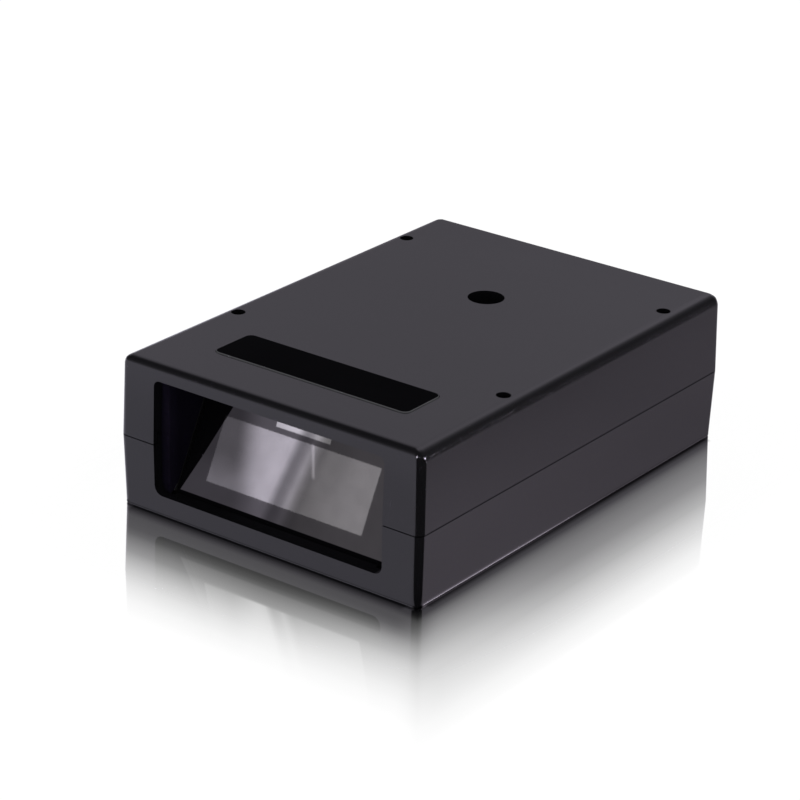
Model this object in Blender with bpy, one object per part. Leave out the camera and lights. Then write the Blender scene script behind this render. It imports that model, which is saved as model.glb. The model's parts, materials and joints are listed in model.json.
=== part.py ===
"""Compact fixed barcode reader in a two-part moulded case, in metres, +Z up.

The origin is the middle of the underside. The window end faces -Y and the cable socket +Y.
"""
import math

import bmesh
import bpy
from mathutils import Matrix, Vector

# Case
CASE_WIDTH = 0.0500
CASE_DEPTH = 0.0711
CASE_HEIGHT = 0.0219
SEAM_HEIGHT = 0.0102
SEAM_GAP = 0.00015
DRAFT_INSET = 0.00026
WALL = 0.0015
ROOF = 0.0016
FLOOR = 0.0016
CORNER_RADIUS = 0.0011
SIDE_FILLET = 0.0017
REAR_FILLET = 0.0015
FRONT_FILLET = 0.0010
BASE_FILLET = 0.0004
INNER_FILLET = 0.0006
LIP_HEIGHT = 0.0013
LIP_OUTER_WALL = 0.0008
LIP_CLEARANCE = 0.00015
RIB = 0.0010

# Gaps between pieces: one that rests on another, and one that is bonded or pressed into another
REST_GAP = 0.0003
BOND_GAP = 0.0001
OVERSHOOT = 0.0010

# Fastening columns, measured from the outer faces at the seam
HOLE_SIDE_MARGIN = 0.0028
HOLE_FRONT_SETBACK = 0.02125
HOLE_REAR_SETBACK = 0.01145
HOLE_DIAMETER = 0.0020
COLUMN_DIAMETER = 0.0048
INSERT_DIAMETER = 0.0031
INSERT_BORE = 0.0022
INSERT_SETBACK = 0.0027
INSERT_GROOVE_DEPTH = 0.00025
CASE_SCREW_HEAD_DIAMETER = 0.0034
CASE_SCREW_HEAD_HEIGHT = 0.0014
CASE_SCREW_SHANK = 0.0019
CASE_SCREW_TIP_GAP = 0.0030
COUNTERBORE_DIAMETER = 0.0037
COUNTERBORE_DEPTH = 0.0040
CLEARANCE_HOLE = 0.0024

# Window opening in the front wall
WINDOW_SIDE_MARGIN = 0.00595
WINDOW_SILL = 0.0030
LINTEL = 0.0024
WINDOW_TOP_RADIUS = 0.0009
WINDOW_SILL_RADIUS = 0.0013

# Window hood and tilted pane
HOOD_WALL = 0.0011
HOOD_MARGIN = 0.0016
MOUTH_STEP = 0.00125
FLARE_ANGLE = math.radians(28.6)
HOOD_CEILING_DROP = 0.0006
PANE_TILT = math.radians(26.5)
PANE_FOOT_SETBACK = 0.00271
PANE_SIDE_MARGIN = 0.00045
PANE_THICKNESS = 0.0010
PANE_SKIRT = 0.0007
TAPE_THICKNESS = 0.0003
TAPE_STRIP = 0.0012
PANE_STOP_DROP = 0.0012
PANE_STOP_LENGTH = 0.0050

# Name plate let into the roof, and the sound hole behind it
LABEL_LENGTH = 0.0320
LABEL_DEPTH = 0.0077
LABEL_CORNER = 0.0010
LABEL_THICKNESS = 0.00035
LABEL_PROUD = 0.00015
LABEL_SIDE_OFFSET = 0.0003
LABEL_FRONT_SETBACK = 0.00825
SOUND_HOLE_DIAMETER = 0.0052
SOUND_HOLE_REAR_SETBACK = 0.02325
SOUND_HOLE_SIDE_OFFSET = 0.0005
SOUND_TUBE_WALL = 0.0011

# Scan engine, from front to back along the optical axis
ENGINE_FLOOR_GAP = 0.0022
ILLUMINATION_BOARD_SETBACK = 0.01155
ILLUMINATION_BOARD_RISE = 0.0015
BOARD_EDGE_CLEARANCE = 0.0020
SMALL_BOARD_THICKNESS = 0.0010
BARREL_FLANGE_DIAMETER = 0.0070
BARREL_DIAMETER = 0.0060
BARREL_BORE = 0.0038
BARREL_FLANGE_LENGTH = 0.0012
BARREL_LENGTH = 0.0076
BARREL_PROTRUSION = 0.0016
LENS_DIAMETER = 0.0050
LENS_THICKNESS = 0.0012
LUG_SIDE_GAP = 0.0006
ENGINE_HEIGHT = 0.0114
ENGINE_DEPTH = 0.0098
ENGINE_EDGE = 0.0006
LUG_LENGTH = 0.0042
LUG_DEPTH = 0.0050
LUG_THICKNESS = 0.0018
LUG_FRONT_STEP = 0.0012
SENSOR_POCKET_WIDTH = 0.0140
SENSOR_POCKET_HEIGHT = 0.0092
SENSOR_POCKET_DEPTH = 0.0046
SENSOR_BOARD_INSET = 0.0025
SENSOR_BOARD_DROP = 0.0003
SENSOR_WIDTH = 0.0090
SENSOR_HEIGHT = 0.0080
SENSOR_THICKNESS = 0.0014

# Lights
LED_WIDTH = 0.0030
LED_HEIGHT = 0.0028
LED_BASE = 0.0008
LED_DOME = 0.0010
INDICATOR_LED_WIDTH = 0.0030
INDICATOR_LED_HEIGHT = 0.0010
INDICATOR_LED_DEPTH = 0.0006
GUIDE_WIDTH = 0.0100
GUIDE_HEIGHT = 0.0022
GUIDE_GAP_TO_BARREL = 0.00063
GUIDE_POCKET_CLEARANCE = 0.0002

# Small screws inside the case
SCREW_HEAD_DIAMETER = 0.0036
SCREW_HEAD_HEIGHT = 0.0012
SCREW_SHANK = 0.0018
SCREW_LENGTH = 0.0036
SCREW_HOLE_CLEARANCE = 0.0002
TINY_HEAD_DIAMETER = 0.0026
TINY_HEAD_HEIGHT = 0.0009
TINY_SHANK = 0.0014
TINY_LENGTH = 0.0028
TINY_EDGE_STEP = 0.00195
POST_DIAMETER = 0.0044

# A pan-head screw's form, as shares of its head's diameter (crown, cross) or height (rim, cross depth)
CROWN_RADIUS = 0.40
CROSS_REACH = 0.30
CROSS_HALF_WEB = 0.075
HEAD_RIM = 0.65
CROSS_FLOOR = 0.45

# Main board and what stands on it
MAIN_BOARD_SIDE_GAP = 0.0011
MAIN_BOARD_THICKNESS = 0.0016
MAIN_BOARD_HEIGHT = 0.0050
MAIN_BOARD_GAP_TO_ENGINE = 0.0008
MAIN_BOARD_GAP_TO_REAR = 0.0005
COLUMN_NOTCH_CLEARANCE = 0.0006
BOARD_SCREW_FRONT_INSET = 0.0038
BOARD_SCREW_FRONT_STEP = 0.0030
BOARD_SCREW_SOCKET_STEP = 0.00525
BOARD_SCREW_REAR_STEP = 0.0036
BEEPER_DIAMETER = 0.0120
BEEPER_HEIGHT = 0.0085
BEEPER_PORT = 0.0024
BEEPER_PORT_DEPTH = 0.0020
BEEPER_RIM = 0.0008
BEEPER_GAP = 0.0005
CHIP_EDGE = 0.0002
CAPACITOR_DIAMETER = 0.0050
CAPACITOR_HEIGHT = 0.0058
CAPACITOR_BASE = 0.0016

# The two rows of parts beside the beeper, from front to back: width, depth and height
ROW_GAP_TO_SCREW = 0.0003
LEFT_ROW = {
    "processor": (0.0100, 0.0100, 0.0012),
    "power_inductor": (0.0050, 0.0050, 0.0030),
    "voltage_regulator": (0.0042, 0.0034, 0.0015),
}
RIGHT_ROW = {
    "memory_chip": (0.0080, 0.0060, 0.0010),
    "clock_crystal": (0.0050, 0.0032, 0.0012),
    "interface_chip": (0.0065, 0.0050, 0.0016),
    "power_capacitor": (CAPACITOR_DIAMETER, CAPACITOR_DIAMETER, CAPACITOR_HEIGHT),
}

# Flat cables and their connectors
CONNECTOR_WIDTH = 0.0104
CONNECTOR_HEIGHT = 0.0016
CONNECTOR_DEPTH = 0.0026
CONNECTOR_STEP = 0.0020
CONNECTOR_RISE = 0.0015
CABLE_WIDTH = 0.0080
CABLE_THICKNESS = 0.0002
CABLE_SLOT = 0.0006
CABLE_INSERTION = 0.0009
CABLE_BEND = 0.0014
LIGHT_CABLE_WIDTH = 0.0050
LIGHT_CABLE_INSET = 0.0065
LIGHT_CABLE_DROP = 0.0012

# Modular cable socket
SOCKET_WIDTH = 0.0155
SOCKET_ROOF_GAP = 0.0010
SOCKET_DEPTH = 0.0154
SOCKET_RECESS = 0.00075
SOCKET_CUTOUT_CLEARANCE = 0.0003
PLUG_WIDTH = 0.0118
PLUG_ROOF = 0.0009
PLUG_FLOOR = 0.0017
PLUG_DEPTH = 0.0133
LATCH_WIDTH = 0.0062
LATCH_HEIGHT = 0.0022
LATCH_KEY_WIDTH = 0.0038
LATCH_KEY_HEIGHT = 0.0012
CONTACT_COUNT = 8
CONTACT_PITCH = 0.00102
CONTACT_THICKNESS = 0.0004
CONTACT_HOLE = 0.0007
CONTACT_FRONT_STEP = 0.0032
CONTACT_LENGTH = 0.0074
CONTACT_RISE = 0.0015

# Facets round a full circle
FINE_SIDES = 28
SIDES = 20
SCREW_SIDES = 14
DOME_SIDES = 12
FILLET_SEGMENTS = 5

# Places worked out from the sizes above
FRONT_FACE = -CASE_DEPTH / 2
REAR_FACE = CASE_DEPTH / 2
FRONT_INNER = FRONT_FACE + WALL + DRAFT_INSET
REAR_INNER = REAR_FACE - WALL - DRAFT_INSET
CEILING = CASE_HEIGHT - ROOF
HOLE_X = CASE_WIDTH / 2 - HOLE_SIDE_MARGIN
FRONT_HOLE_Y = FRONT_FACE + HOLE_FRONT_SETBACK
REAR_HOLE_Y = REAR_FACE - HOLE_REAR_SETBACK
COLUMNS = {
    "front_left": (-HOLE_X, FRONT_HOLE_Y),
    "front_right": (HOLE_X, FRONT_HOLE_Y),
    "rear_left": (-HOLE_X, REAR_HOLE_Y),
    "rear_right": (HOLE_X, REAR_HOLE_Y),
}
UPPER_BASE = SEAM_HEIGHT + SEAM_GAP / 2
LOWER_TOP = SEAM_HEIGHT - SEAM_GAP / 2
INSERT_TOP = CEILING - REST_GAP
INSERT_BASE = UPPER_BASE + INSERT_SETBACK
WINDOW_WIDTH = CASE_WIDTH - 2 * WINDOW_SIDE_MARGIN
MOUTH_HALF_WIDTH = WINDOW_WIDTH / 2 - MOUTH_STEP
THROAT_HALF_WIDTH = MOUTH_HALF_WIDTH - HOOD_WALL * math.tan(FLARE_ANGLE)
PANE_WIDTH = WINDOW_WIDTH - 2 * PANE_SIDE_MARGIN
RECESS_CEILING = CASE_HEIGHT - LINTEL - HOOD_CEILING_DROP
HOOD_FRONT = FRONT_INNER + BOND_GAP
HOOD_BASE = FLOOR + REST_GAP
HOOD_TOP = CEILING - REST_GAP
PANE_FOOT_Y = FRONT_FACE + PANE_FOOT_SETBACK
PANE_LENGTH = (HOOD_TOP - WINDOW_SILL) / math.cos(PANE_TILT)
SOUND_HOLE_CENTRE = (SOUND_HOLE_SIDE_OFFSET, REAR_FACE - SOUND_HOLE_REAR_SETBACK)
LABEL_Y = FRONT_FACE + LABEL_FRONT_SETBACK + LABEL_DEPTH / 2
LIGHT_BOARD_FRONT = FRONT_FACE + ILLUMINATION_BOARD_SETBACK
LIGHT_BOARD_REAR = LIGHT_BOARD_FRONT + SMALL_BOARD_THICKNESS
ENGINE_FRONT = LIGHT_BOARD_REAR + REST_GAP
ENGINE_REAR = ENGINE_FRONT + ENGINE_DEPTH
ENGINE_BASE = FLOOR + ENGINE_FLOOR_GAP
AXIS_HEIGHT = ENGINE_BASE + ENGINE_HEIGHT / 2
ENGINE_WIDTH = 2 * (HOLE_X - COLUMN_DIAMETER / 2 - LUG_SIDE_GAP - LUG_LENGTH)
SENSOR_BOARD_WIDTH = ENGINE_WIDTH - 2 * SENSOR_BOARD_INSET
INDICATOR_HEIGHT = AXIS_HEIGHT + BARREL_FLANGE_DIAMETER / 2 + GUIDE_GAP_TO_BARREL + GUIDE_HEIGHT / 2
ILLUMINATION_BOARD_TOP = INDICATOR_HEIGHT + ILLUMINATION_BOARD_RISE
LED_GAP = (ENGINE_WIDTH / 2 - BARREL_FLANGE_DIAMETER / 2 - 2 * LED_WIDTH) / 3
LED_INNER_X = BARREL_FLANGE_DIAMETER / 2 + LED_GAP + LED_WIDTH / 2
LED_OUTER_X = LED_INNER_X + LED_WIDTH + LED_GAP
LUG_X = ENGINE_WIDTH / 2 + LUG_LENGTH / 2
LUG_Y = ENGINE_FRONT + LUG_FRONT_STEP + LUG_DEPTH / 2
BARREL_FRONT = LIGHT_BOARD_FRONT - BARREL_PROTRUSION
SENSOR_BOARD_FRONT = ENGINE_REAR + REST_GAP
SENSOR_BOARD_REAR = SENSOR_BOARD_FRONT + SMALL_BOARD_THICKNESS
MAIN_BOARD_WIDTH = CASE_WIDTH - 2 * (WALL + MAIN_BOARD_SIDE_GAP)
MAIN_BOARD_TOP = MAIN_BOARD_HEIGHT + MAIN_BOARD_THICKNESS
MAIN_BOARD_FRONT = SENSOR_BOARD_REAR + MAIN_BOARD_GAP_TO_ENGINE
MAIN_BOARD_REAR = REAR_INNER - MAIN_BOARD_GAP_TO_REAR
PART_SEAT = MAIN_BOARD_TOP + BOND_GAP
BOARD_SCREW_FRONT_X = MAIN_BOARD_WIDTH / 2 - BOARD_SCREW_FRONT_INSET
BOARD_SCREW_FRONT_Y = MAIN_BOARD_FRONT + BOARD_SCREW_FRONT_STEP
BOARD_SCREW_REAR_X = SOCKET_WIDTH / 2 + BOARD_SCREW_SOCKET_STEP
BOARD_SCREW_REAR_Y = MAIN_BOARD_REAR - BOARD_SCREW_REAR_STEP
BOARD_SCREWS = {
    "front_left": (-BOARD_SCREW_FRONT_X, BOARD_SCREW_FRONT_Y),
    "front_right": (BOARD_SCREW_FRONT_X, BOARD_SCREW_FRONT_Y),
    "rear_left": (-BOARD_SCREW_REAR_X, BOARD_SCREW_REAR_Y),
    "rear_right": (BOARD_SCREW_REAR_X, BOARD_SCREW_REAR_Y),
}
SOCKET_REAR = REAR_FACE - SOCKET_RECESS
SOCKET_FRONT = SOCKET_REAR - SOCKET_DEPTH
SOCKET_TOP = CEILING - SOCKET_ROOF_GAP
PLUG_BASE = PART_SEAT + PLUG_FLOOR
PLUG_TOP = SOCKET_TOP - PLUG_ROOF - LATCH_KEY_HEIGHT - LATCH_HEIGHT


def clear_scene():
    """Remove whatever the file holds."""
    for thing in list(bpy.data.objects):
        bpy.data.objects.remove(thing, do_unlink=True)


def make_material(name, colour, roughness, metallic=0.0):
    """One Principled material with a plain colour."""
    made = bpy.data.materials.new(name)
    made.use_nodes = True
    shader = made.node_tree.nodes["Principled BSDF"]
    shader.inputs["Base Color"].default_value = (*colour, 1.0)
    shader.inputs["Roughness"].default_value = roughness
    shader.inputs["Metallic"].default_value = metallic
    return made


def loft(rings, closed=False):
    """Points and faces of a skin through rings of points, capped at its ends unless it closes on itself."""
    count = len(rings[0])
    points = [point for ring in rings for point in ring]
    faces = []
    spans = len(rings) if closed else len(rings) - 1
    for span in range(spans):
        low = span * count
        high = ((span + 1) % len(rings)) * count
        for index in range(count):
            after = (index + 1) % count
            faces.append((low + index, low + after, high + after, high + index))
    if not closed:
        faces.append(tuple(range(count)))
        faces.append(tuple(range(len(points) - count, len(points))))
    return points, faces


def on_axis(across, up, along, axis):
    """A point given across, up and along an axis: X takes (Y, Z), Y takes (X, Z) and Z takes (X, Y)."""
    return {"X": (along, across, up), "Y": (across, along, up), "Z": (across, up, along)}[axis]


def extruded(outline, start, end, axis="Z"):
    """An outline carried straight along an axis."""
    return loft([[on_axis(u, v, level, axis) for u, v in outline] for level in (start, end)])


def box(low, high):
    """A plain block between two corners."""
    outline = [(low[0], low[1]), (high[0], low[1]), (high[0], high[1]), (low[0], high[1])]
    return extruded(outline, low[2], high[2])


def circle(radius, centre=(0.0, 0.0), sides=SIDES):
    """Points round a circle."""
    turns = [2 * math.pi * index / sides for index in range(sides)]
    return [(centre[0] + radius * math.cos(turn), centre[1] + radius * math.sin(turn)) for turn in turns]


def rod(centre, diameter, start, end, axis="Z", sides=SIDES):
    """A round bar along an axis."""
    return extruded(circle(diameter / 2, centre, sides), start, end, axis)


def turned(profile, centre, axis="Z", sides=SIDES, closed=False):
    """A turned piece from (radius, distance along the axis) steps; closed makes a ring."""
    rings = []
    for radius, along in profile:
        ring = circle(radius, centre, sides)
        rings.append([on_axis(u, v, along, axis) for u, v in ring])
    return loft(rings, closed)


def rounded_rectangle(low, high, radii, segments=4):
    """A rectangle whose corners, from low-low round to low-high, have these radii."""
    centres = [
        (low[0] + radii[0], low[1] + radii[0]),
        (high[0] - radii[1], low[1] + radii[1]),
        (high[0] - radii[2], high[1] - radii[2]),
        (low[0] + radii[3], high[1] - radii[3]),
    ]
    outline = []
    for corner, (centre, radius) in enumerate(zip(centres, radii)):
        for step in range(segments + 1):
            turn = math.pi + (corner + step / segments) * math.pi / 2
            outline.append((centre[0] + radius * math.cos(turn), centre[1] + radius * math.sin(turn)))
    return outline


def case_half_size(height):
    """Half width and half depth of the case's outside at a height: both halves narrow away from the seam."""
    if height > SEAM_HEIGHT:
        share = (height - SEAM_HEIGHT) / (CASE_HEIGHT - SEAM_HEIGHT)
    else:
        share = (SEAM_HEIGHT - height) / SEAM_HEIGHT
    inset = DRAFT_INSET * max(0.0, share)
    return CASE_WIDTH / 2 - inset, CASE_DEPTH / 2 - inset


def tapered_block(low, high, inset, low_size=None):
    """The case's outer form between two heights, drawn in by an inset all round."""
    rings = []
    for height in (low, high):
        half_x, half_y = case_half_size(height)
        if height == low and low_size is not None:
            half_x, half_y = low_size
        x, y = half_x - inset, half_y - inset
        rings.append([(-x, -y, height), (x, -y, height), (x, y, height), (-x, y, height)])
    return loft(rings)


def solid(name, *pieces, finish=None, smooth=False):
    """Link one object made of pieces of points and faces, all faces turned outward."""
    shape = bmesh.new()
    for points, faces in pieces:
        corners = [shape.verts.new(point) for point in points]
        for face in faces:
            shape.faces.new([corners[index] for index in face])
    bmesh.ops.recalc_face_normals(shape, faces=shape.faces)
    mesh = bpy.data.meshes.new(name)
    shape.to_mesh(mesh)
    shape.free()
    if smooth:
        mesh.shade_smooth()
        mesh.set_sharp_from_angle(angle=math.radians(35))
    thing = bpy.data.objects.new(name, mesh)
    bpy.context.scene.collection.objects.link(thing)
    if finish is not None:
        mesh.materials.append(finish)
    return thing


def reshape(target, tool, operation):
    """Join, cut or intersect the target with a tool that stays as a hidden guide."""
    change = target.modifiers.new(f"{operation.lower()}_{tool.name}", "BOOLEAN")
    change.operation = operation
    change.solver = "EXACT"
    change.object = tool
    tool.hide_render = True
    tool.display_type = "WIRE"


def join(target, name, *pieces):
    """Join extra material to the target."""
    reshape(target, solid(name, *pieces), "UNION")


def cut(target, name, *pieces):
    """Cut pieces out of the target."""
    reshape(target, solid(name, *pieces), "DIFFERENCE")


def copy_of(thing, name, place):
    """Another object with the same mesh, moved to its own place."""
    twin = bpy.data.objects.new(name, thing.data)
    twin.location = place
    bpy.context.scene.collection.objects.link(twin)
    return twin


def round_edges(thing, radii, segments=FILLET_SEGMENTS):
    """Round each edge by the radius that radii(start, end) returns for it, or leave it sharp at 0."""
    mesh = thing.data
    widest = 0.0
    wanted = []
    for edge in mesh.edges:
        start, end = (mesh.vertices[index].co for index in edge.vertices)
        radius = radii(start, end)
        wanted.append(radius)
        widest = max(widest, radius)
    weights = mesh.attributes.new("bevel_weight_edge", "FLOAT", "EDGE")
    for index, radius in enumerate(wanted):
        weights.data[index].value = radius / widest
    bevel = thing.modifiers.new("rounded_edges", "BEVEL")
    bevel.limit_method = "WEIGHT"
    bevel.offset_type = "OFFSET"
    bevel.width = widest
    bevel.segments = segments
    bevel.use_clamp_overlap = True


def is_upright(start, end):
    """True for an edge that runs from a low corner to a high one."""
    return abs(start.z - end.z) > abs(start.x - end.x) + abs(start.y - end.y)


def roof_edge_radius(start, end):
    """Fillets of the upper shell: side, rear and front edges of the roof, and the upright corners."""
    if is_upright(start, end):
        return CORNER_RADIUS
    if min(start.z, end.z) < SEAM_HEIGHT + SEAM_GAP:
        return 0.0
    if abs(start.x - end.x) < abs(start.y - end.y):
        return SIDE_FILLET
    return REAR_FILLET if start.y > 0 else FRONT_FILLET


def base_edge_radius(start, end):
    """Fillets of the lower shell: a small radius round the underside, and the upright corners."""
    if is_upright(start, end):
        return CORNER_RADIUS
    return BASE_FILLET if max(start.z, end.z) < SEAM_HEIGHT / 2 else 0.0


def cavity_edge_radius(start, end):
    """The cavity of either shell is rounded where walls meet the roof or the floor, and up its corners."""
    heights = (start.z, end.z)
    if is_upright(start, end):
        return INNER_FILLET
    if max(heights) < SEAM_HEIGHT - SEAM_GAP and min(heights) > FLOOR / 2:
        return INNER_FILLET if max(heights) < SEAM_HEIGHT / 2 else 0.0
    return INNER_FILLET if min(heights) > SEAM_HEIGHT + CASE_HEIGHT / 4 else 0.0


def wall_outline(inset):
    """The case's outline at the seam, drawn in by an inset, with rounded corners."""
    half_x, half_y = CASE_WIDTH / 2 - inset, CASE_DEPTH / 2 - inset
    radius = max(CORNER_RADIUS - inset, REST_GAP)
    return rounded_rectangle((-half_x, -half_y), (half_x, half_y), [radius] * 4)


def lip_block():
    """The step on the lower shell's rim before it is hollowed: it reaches up inside the upper shell."""
    outline = wall_outline(LIP_OUTER_WALL + LIP_CLEARANCE)
    return extruded(outline, SEAM_HEIGHT - LIP_HEIGHT, SEAM_HEIGHT + LIP_HEIGHT)


def lip_rebate():
    """The groove in the upper shell's rim, and across its columns, that the lip stands in."""
    outer = wall_outline(LIP_OUTER_WALL)
    inner = wall_outline(WALL + LIP_CLEARANCE)
    low, high = SEAM_HEIGHT - OVERSHOOT, SEAM_HEIGHT + LIP_HEIGHT + REST_GAP
    corners = ((outer, low), (outer, high), (inner, high), (inner, low))
    return loft([[(x, y, height) for x, y in outline] for outline, height in corners], closed=True)


def window_cutter():
    """The rounded opening through the front wall, shared by both shells."""
    half = WINDOW_WIDTH / 2
    radii = (WINDOW_SILL_RADIUS, WINDOW_SILL_RADIUS, WINDOW_TOP_RADIUS, WINDOW_TOP_RADIUS)
    outline = rounded_rectangle((-half, WINDOW_SILL), (half, CASE_HEIGHT - LINTEL), radii)
    return extruded(outline, FRONT_FACE - OVERSHOOT, PANE_FOOT_Y + OVERSHOOT, "Y")


def socket_cutter():
    """The square opening through the rear wall, shared by both shells."""
    half = SOCKET_WIDTH / 2 + SOCKET_CUTOUT_CLEARANCE
    low = PART_SEAT - SOCKET_CUTOUT_CLEARANCE
    high = SOCKET_TOP + SOCKET_CUTOUT_CLEARANCE
    return box((-half, REAR_INNER - DRAFT_INSET, low), (half, REAR_FACE + OVERSHOOT, high))


def hood_guides(low, high):
    """Two upright ribs that hold the hood's sides, grown out of the front wall."""
    inner = WINDOW_WIDTH / 2 + HOOD_MARGIN + REST_GAP
    front = FRONT_FACE + WALL / 2
    rear = HOOD_FRONT + HOOD_WALL + RIB
    ribs = []
    for side in (-1, 1):
        near, far = sorted((side * inner, side * (inner + RIB)))
        ribs.append(box((near, front, low), (far, rear, high)))
    return ribs


def pane_y(height, behind=0.0):
    """Where the pane's front face, or a plane behind it, stands at a height."""
    return PANE_FOOT_Y + (height - WINDOW_SILL) * math.tan(PANE_TILT) + behind / math.cos(PANE_TILT)


def sill_ledge(root):
    """The thickened foot of the front wall that the window's sill runs back on, right up to the pane."""
    half = THROAT_HALF_WIDTH - REST_GAP
    front = FRONT_FACE + WALL / 2
    high = WINDOW_SILL + OVERSHOOT
    outline = [(front, root), (pane_y(root, -REST_GAP), root), (pane_y(high, -REST_GAP), high), (front, high)]
    return extruded(outline, -half, half, "X")


def make_upper_shell(plastic):
    """Roof and upper walls, with columns for the inserts, a sound tube and the ribs that hold the hood."""
    shell = solid("upper_shell", tapered_block(UPPER_BASE, CASE_HEIGHT, 0.0), finish=plastic)
    round_edges(shell, roof_edge_radius)
    seam_size = case_half_size(SEAM_HEIGHT)
    hollow = solid("upper_cavity", tapered_block(UPPER_BASE - OVERSHOOT, CEILING, WALL, seam_size))
    round_edges(hollow, cavity_edge_radius, 2)
    reshape(shell, hollow, "DIFFERENCE")
    root = CEILING + BOND_GAP
    places = COLUMNS.values()
    join(shell, "upper_columns", *[rod(at, COLUMN_DIAMETER, UPPER_BASE, root) for at in places])
    tube = SOUND_HOLE_DIAMETER + 2 * SOUND_TUBE_WALL
    tube_end = PART_SEAT + BEEPER_HEIGHT + BEEPER_GAP
    join(shell, "sound_tube", rod(SOUND_HOLE_CENTRE, tube, tube_end, root, sides=FINE_SIDES))
    join(shell, "upper_hood_guides", *hood_guides(UPPER_BASE, root))
    join(shell, "pane_stops", *pane_stops(root))
    pocket = INSERT_DIAMETER + 2 * BOND_GAP
    pocket_top = INSERT_TOP + BOND_GAP
    base = UPPER_BASE - OVERSHOOT
    cut(shell, "insert_pockets", *[rod(at, pocket, base, pocket_top) for at in places])
    above = CASE_HEIGHT + OVERSHOOT
    holes = [rod(at, HOLE_DIAMETER, INSERT_TOP - BOND_GAP, above) for at in places]
    cut(shell, "roof_holes", *holes)
    sound = rod(SOUND_HOLE_CENTRE, SOUND_HOLE_DIAMETER, tube_end - OVERSHOOT, above, sides=FINE_SIDES)
    cut(shell, "sound_hole", sound)
    cut(shell, "lip_rebate", lip_rebate())
    cut(shell, "upper_window", window_cutter())
    cut(shell, "upper_socket_opening", socket_cutter())
    recess_floor = CASE_HEIGHT + LABEL_PROUD - LABEL_THICKNESS - REST_GAP
    recess = label_outline(BOND_GAP)
    cut(shell, "label_recess", extruded(recess, recess_floor, above))
    return shell


def pane_stops(root):
    """Two short ribs under the roof that keep the pane's top edge on its tape, one each side of the guide."""
    front = pane_y(HOOD_TOP, PANE_THICKNESS) + REST_GAP
    low = CEILING - PANE_STOP_DROP
    inner = GUIDE_WIDTH / 2 + RIB
    outer = inner + PANE_STOP_LENGTH
    right = box((inner, front, low), (outer, front + RIB, root))
    left = box((-outer, front, low), (-inner, front + RIB, root))
    return left, right


def label_outline(grow):
    """The name plate's rounded outline, grown by a clearance."""
    low = (LABEL_SIDE_OFFSET - LABEL_LENGTH / 2 - grow, LABEL_Y - LABEL_DEPTH / 2 - grow)
    high = (LABEL_SIDE_OFFSET + LABEL_LENGTH / 2 + grow, LABEL_Y + LABEL_DEPTH / 2 + grow)
    return rounded_rectangle(low, high, [LABEL_CORNER + grow] * 4)


def make_lower_shell(plastic):
    """Floor and lower walls, with screw columns, board posts, engine posts, the lip and the hood's ribs."""
    shell = solid("lower_shell", tapered_block(0.0, LOWER_TOP, 0.0), finish=plastic)
    round_edges(shell, base_edge_radius)
    join(shell, "lip", lip_block())
    seam_size = case_half_size(SEAM_HEIGHT)
    hollow_top = SEAM_HEIGHT + LIP_HEIGHT + OVERSHOOT
    x, y = seam_size[0] - WALL, seam_size[1] - WALL
    top_ring = [(-x, -y, hollow_top), (x, -y, hollow_top), (x, y, hollow_top), (-x, y, hollow_top)]
    floor_x, floor_y = (half - WALL for half in case_half_size(FLOOR))
    floor_ring = [
        (-floor_x, -floor_y, FLOOR),
        (floor_x, -floor_y, FLOOR),
        (floor_x, floor_y, FLOOR),
        (-floor_x, floor_y, FLOOR),
    ]
    hollow = solid("lower_cavity", loft([floor_ring, top_ring]))
    round_edges(hollow, cavity_edge_radius, 2)
    reshape(shell, hollow, "DIFFERENCE")
    root = FLOOR - BOND_GAP
    places = COLUMNS.values()
    join(shell, "lower_columns", *[rod(at, COLUMN_DIAMETER, root, LOWER_TOP) for at in places])
    join(shell, "lower_hood_guides", *hood_guides(root, LOWER_TOP))
    rib_top = FLOOR + 2 * RIB
    rib_front = pane_y(rib_top, PANE_THICKNESS) + REST_GAP
    rib = box((-PANE_WIDTH / 3, rib_front, root), (PANE_WIDTH / 3, rib_front + RIB, rib_top))
    join(shell, "pane_rest", rib)
    join(shell, "sill_ledge", sill_ledge(root))
    engine_posts = [(-LUG_X, LUG_Y), (LUG_X, LUG_Y)]
    engine_seat = ENGINE_BASE - REST_GAP
    board_seat = MAIN_BOARD_HEIGHT - REST_GAP
    join(shell, "engine_posts", *[rod(at, POST_DIAMETER, root, engine_seat) for at in engine_posts])
    board_posts = list(BOARD_SCREWS.values())
    join(shell, "board_posts", *[rod(at, POST_DIAMETER, root, board_seat) for at in board_posts])
    bore = SCREW_SHANK + 2 * BOND_GAP
    engine_bottom = ENGINE_BASE + LUG_THICKNESS - SCREW_LENGTH
    board_bottom = MAIN_BOARD_TOP - SCREW_LENGTH
    pilots = [rod(at, bore, engine_bottom, engine_seat + OVERSHOOT) for at in engine_posts]
    pilots += [rod(at, bore, board_bottom, board_seat + OVERSHOOT) for at in board_posts]
    cut(shell, "pilot_holes", *pilots)
    above = LOWER_TOP + OVERSHOOT
    cut(shell, "clearance_holes", *[rod(at, CLEARANCE_HOLE, -OVERSHOOT, above) for at in places])
    sink = [rod(at, COUNTERBORE_DIAMETER, -OVERSHOOT, COUNTERBORE_DEPTH) for at in places]
    cut(shell, "counterbores", *sink)
    cut(shell, "lower_window", window_cutter())
    cut(shell, "lower_socket_opening", socket_cutter())
    return shell


def passage(low, high):
    """The light path through the hood: a flared mouth as deep as the mouth plate, then straight cheeks."""
    start, throat, end = HOOD_FRONT - OVERSHOOT, HOOD_FRONT + HOOD_WALL, LIGHT_BOARD_FRONT
    wide = MOUTH_HALF_WIDTH + OVERSHOOT * math.tan(FLARE_ANGLE)
    narrow = THROAT_HALF_WIDTH
    right = [(wide, start), (narrow, throat), (narrow, end)]
    left = [(-x, y) for x, y in reversed(right)]
    return extruded(right + left, low, high)


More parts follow.
